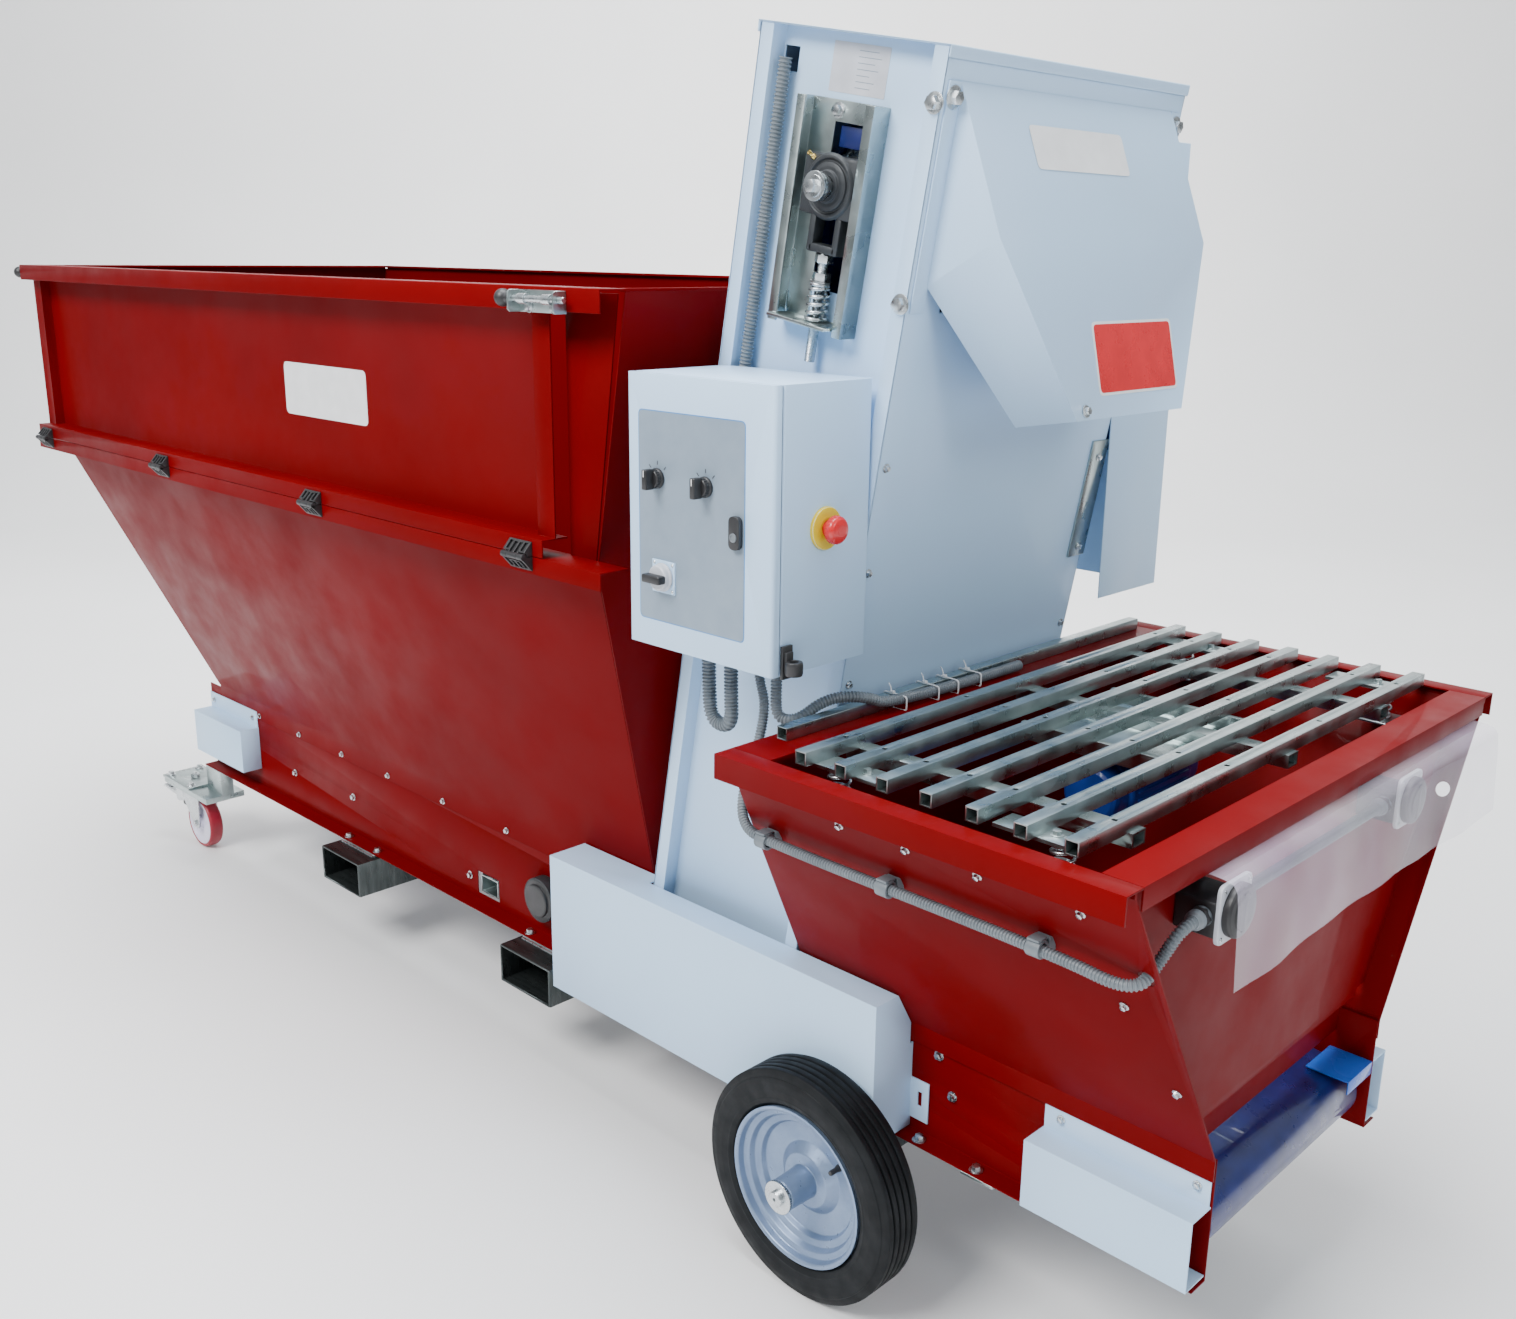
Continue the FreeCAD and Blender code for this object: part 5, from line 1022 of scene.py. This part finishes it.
spot = on_tower(0.174, 0.044, -RECESS_Y)
name_plate, across, up, normal = plain_label("tower_name_plate", spot, FORWARD, UP, 0.104, 0.066,
                                             "pale_plastic", 0.002)
for k, length in enumerate((0.036, 0.042, 0.0312, 0.0384, 0.024, 0.0336, 0.0276)):  # plain rules
    foot = spot + across * -0.004 + up * (0.024 - 0.008 * k) + normal * 0.0006
    end = foot + across * length
    half = up * 0.0005
    name_plate.prism([foot - half, end - half, end + half, foot + half], normal * 0.0001, "label_grey", 0)
name_plate.done("machine", "white_paint")

HOOD_TOP, HOOD_BEND, HOOD_CHIN = Vector((1.072, 0, 1.806)), Vector((1.145, 0, 1.61)), Vector((1.2, 0, 1.368))
down_upper = (HOOD_BEND - HOOD_TOP).normalized()
down_front = (HOOD_CHIN - HOOD_BEND).normalized()
hood_label = plain_label("hood_label", HOOD_TOP + down_upper * 0.08 - Y * 0.022, Y, -down_upper, 0.235,
                         0.062, "white_plastic", 0.008)[0]
hood_label.done("machine", "white_paint")

spot = HOOD_BEND + down_front * 0.165 + Y * 0.03
notice, across, up, normal = plain_label("hood_notice", spot, Y, -down_front, 0.215, 0.104, "white_plastic",
                                         0.009)
place = rounded(-0.1035, 0.1035, -0.048, 0.048, 0.007)
notice.prism([spot + across * a + up * b + normal * 0.0005 for a, b in place], normal * 0.0002,
             "red_plastic", 0)
notice.done("machine", "red_plastic")

tab = Piece("scraper_tab")
tab.block((1.497, 0.17, 0.364), (1.5665, 0.262, 0.3668), "sky_blue", 0.001)
tab.block((1.564, 0.17, 0.344), (1.5665, 0.262, 0.3668), "sky_blue", 0.001)
tab.done("machine", "blue_motor")

corner_bolts = Piece("hood_corner_bolts")
for side in (-1, 1):
    corner_bolts.bolt(on_tower(TOWER_DEPTH + 0.0036, 0.06, side * 0.282), FORWARD, 0.017)
chin = HOOD_BEND + down_front * (HOOD_CHIN - HOOD_BEND).length * 0.95
corner_bolts.bolt(chin - Y * 0.118 + normal * 0.0002, normal, 0.01)
corner_bolts.done("machine", "zinc")

beads = Piece("weld_beads")
for k, x in enumerate((-0.638, 0.065)):
    for side in (-1, 1):
        for j, (y, z) in enumerate(((side * 0.2955, 0.2415), (side * 0.2025, 0.241))):
            line = [Vector((x + 0.012 + t * 0.0034, y, z)) for t in range(41)]
            beads.sweep(line, lumpy(line, 0.0032, 10 * k + j + side), "zinc", 8)
for x in (-1.332, -1.252):
    for side in (-1, 1):
        line = [Vector((x, side * 0.262, 0.184 + t * 0.0034)) for t in range(18)]
        beads.sweep(line, lumpy(line, 0.0024, int(x * 100) + side), "galvanised", 8)
beads.done("machine", "black_paint")

cap = Piece("bearing_cap")
cap.turned([(0, 0), (0.0455, 0), (0.0455, 0.018), (0.0425, 0.024), (0.034, 0.025), (0.0335, 0.03),
            (0.03, 0.0308), (0, 0.031)], 0.0012, (0.118, -0.2605, 0.334), -Y, "black_plastic", 56)
cap.done("machine", "black_plastic")


# ---- floor, light and camera
FLOOR_NEAR, FLOOR_FAR, CURVE_R, WALL_TOP, HALF_WIDE = -9.0, 5.5, 2.5, 9.0, 12
away, aside = Vector((-0.698, 0.716, 0)), Vector((0.716, 0.698, 0))
sweep = [(FLOOR_NEAR, 0.0), (FLOOR_FAR, 0.0)]  # a studio sweep: floor, curve and wall behind
for k in range(1, 10):
    turn = radians(10 * k)
    sweep.append((FLOOR_FAR + CURVE_R * sin(turn), CURVE_R - CURVE_R * cos(turn)))
sweep.append((FLOOR_FAR + CURVE_R, WALL_TOP))
corners = [away * a + aside * w + Z * h for a, h in sweep for w in (-HALF_WIDE, HALF_WIDE)]
floor_mesh = bpy.data.meshes.new("floor")
floor_mesh.from_pydata([tuple(c) for c in corners], [],
                       [(2 * k, 2 * k + 1, 2 * k + 3, 2 * k + 2) for k in range(len(sweep) - 1)])
floor_mesh.shade_smooth()
floor = bpy.data.objects.new("floor", floor_mesh)
bpy.context.scene.collection.objects.link(floor)
ground = Graph("Floor", Roughness=0.65, Emission_Color=(1, 1, 1, 1), Emission_Strength=0.1)
ground.to("Base Color", ground.ramp(ground.noise(0.5, 3), (0.3, grey(0.74)), (0.7, grey(0.8))))
floor_mesh.materials.append(ground.material)

world = bpy.context.scene.world or bpy.data.worlds.new("World")
bpy.context.scene.world = world
world.use_nodes = True
nodes, join = world.node_tree.nodes, world.node_tree.links.new
background = nodes["Background"]
direction = nodes.new("ShaderNodeTexCoord").outputs["Generated"]
height = nodes.new("ShaderNodeSeparateXYZ")
join(direction, height.inputs["Vector"])
shades = nodes.new("ShaderNodeValToRGB")
for stop, position, colour in zip(shades.color_ramp.elements, (0.02, 0.55),
                                  ((0.3, 0.31, 0.32, 1), (0.88, 0.94, 1.0, 1))):
    stop.position = position
    stop.color = colour
join(height.outputs["Z"], shades.inputs["Fac"])
join(shades.outputs["Color"], background.inputs["Color"])
background.inputs["Strength"].default_value = 0.8


def area_light(name, at, aim, size, power, colour=(1, 1, 1)):
    light = bpy.data.lights.new(name, "AREA")
    light.shape, light.size, light.size_y = "RECTANGLE", size[0], size[1]
    light.energy, light.color = power, colour
    holder = bpy.data.objects.new(name, light)
    holder.location = at
    holder.rotation_euler = (Vector(aim) - Vector(at)).to_track_quat("-Z", "Y").to_euler()
    bpy.context.scene.collection.objects.link(holder)


area_light("key", (0.2, -4.6, 5.2), (0, 0, 0.8), (3.0, 2.0), 500, (1.0, 0.99, 0.98))
area_light("front", (5.0, -0.6, 3.2), (0.8, 0, 0.8), (2.0, 1.6), 60, (0.95, 0.98, 1.0))
area_light("top", (0.3, -0.2, 6.0), (0.3, 0, 1.0), (4.0, 3.0), 560, (0.95, 0.97, 1.0))
area_light("backdrop", (-2.0, 2.6, 5.5), (-5.0, 5.4, 1.5), (6.0, 3.0), 620)

CAMERA_AT = (2.315, -1.894, 1.59)
yaw, pitch, roll = radians(44.26), radians(15.39), radians(0.73)
camera = bpy.data.cameras.new("camera")
camera.sensor_width, camera.lens = 36.0, 34.77
camera.shift_x, camera.shift_y = -0.0057, -0.0037
camera.clip_end = 60
ahead = Vector((-sin(yaw) * cos(pitch), cos(yaw) * cos(pitch), -sin(pitch)))
level = Vector((cos(yaw), sin(yaw), 0))
over = level.cross(ahead)
right = level * cos(roll) + over * sin(roll)
upward = -level * sin(roll) + over * cos(roll)
view = bpy.data.objects.new("camera", camera)
turned = Matrix((right, upward, -ahead)).transposed().to_4x4()
view.matrix_world = Matrix.Translation(CAMERA_AT) @ turned
bpy.context.scene.collection.objects.link(view)
bpy.context.scene.camera = view
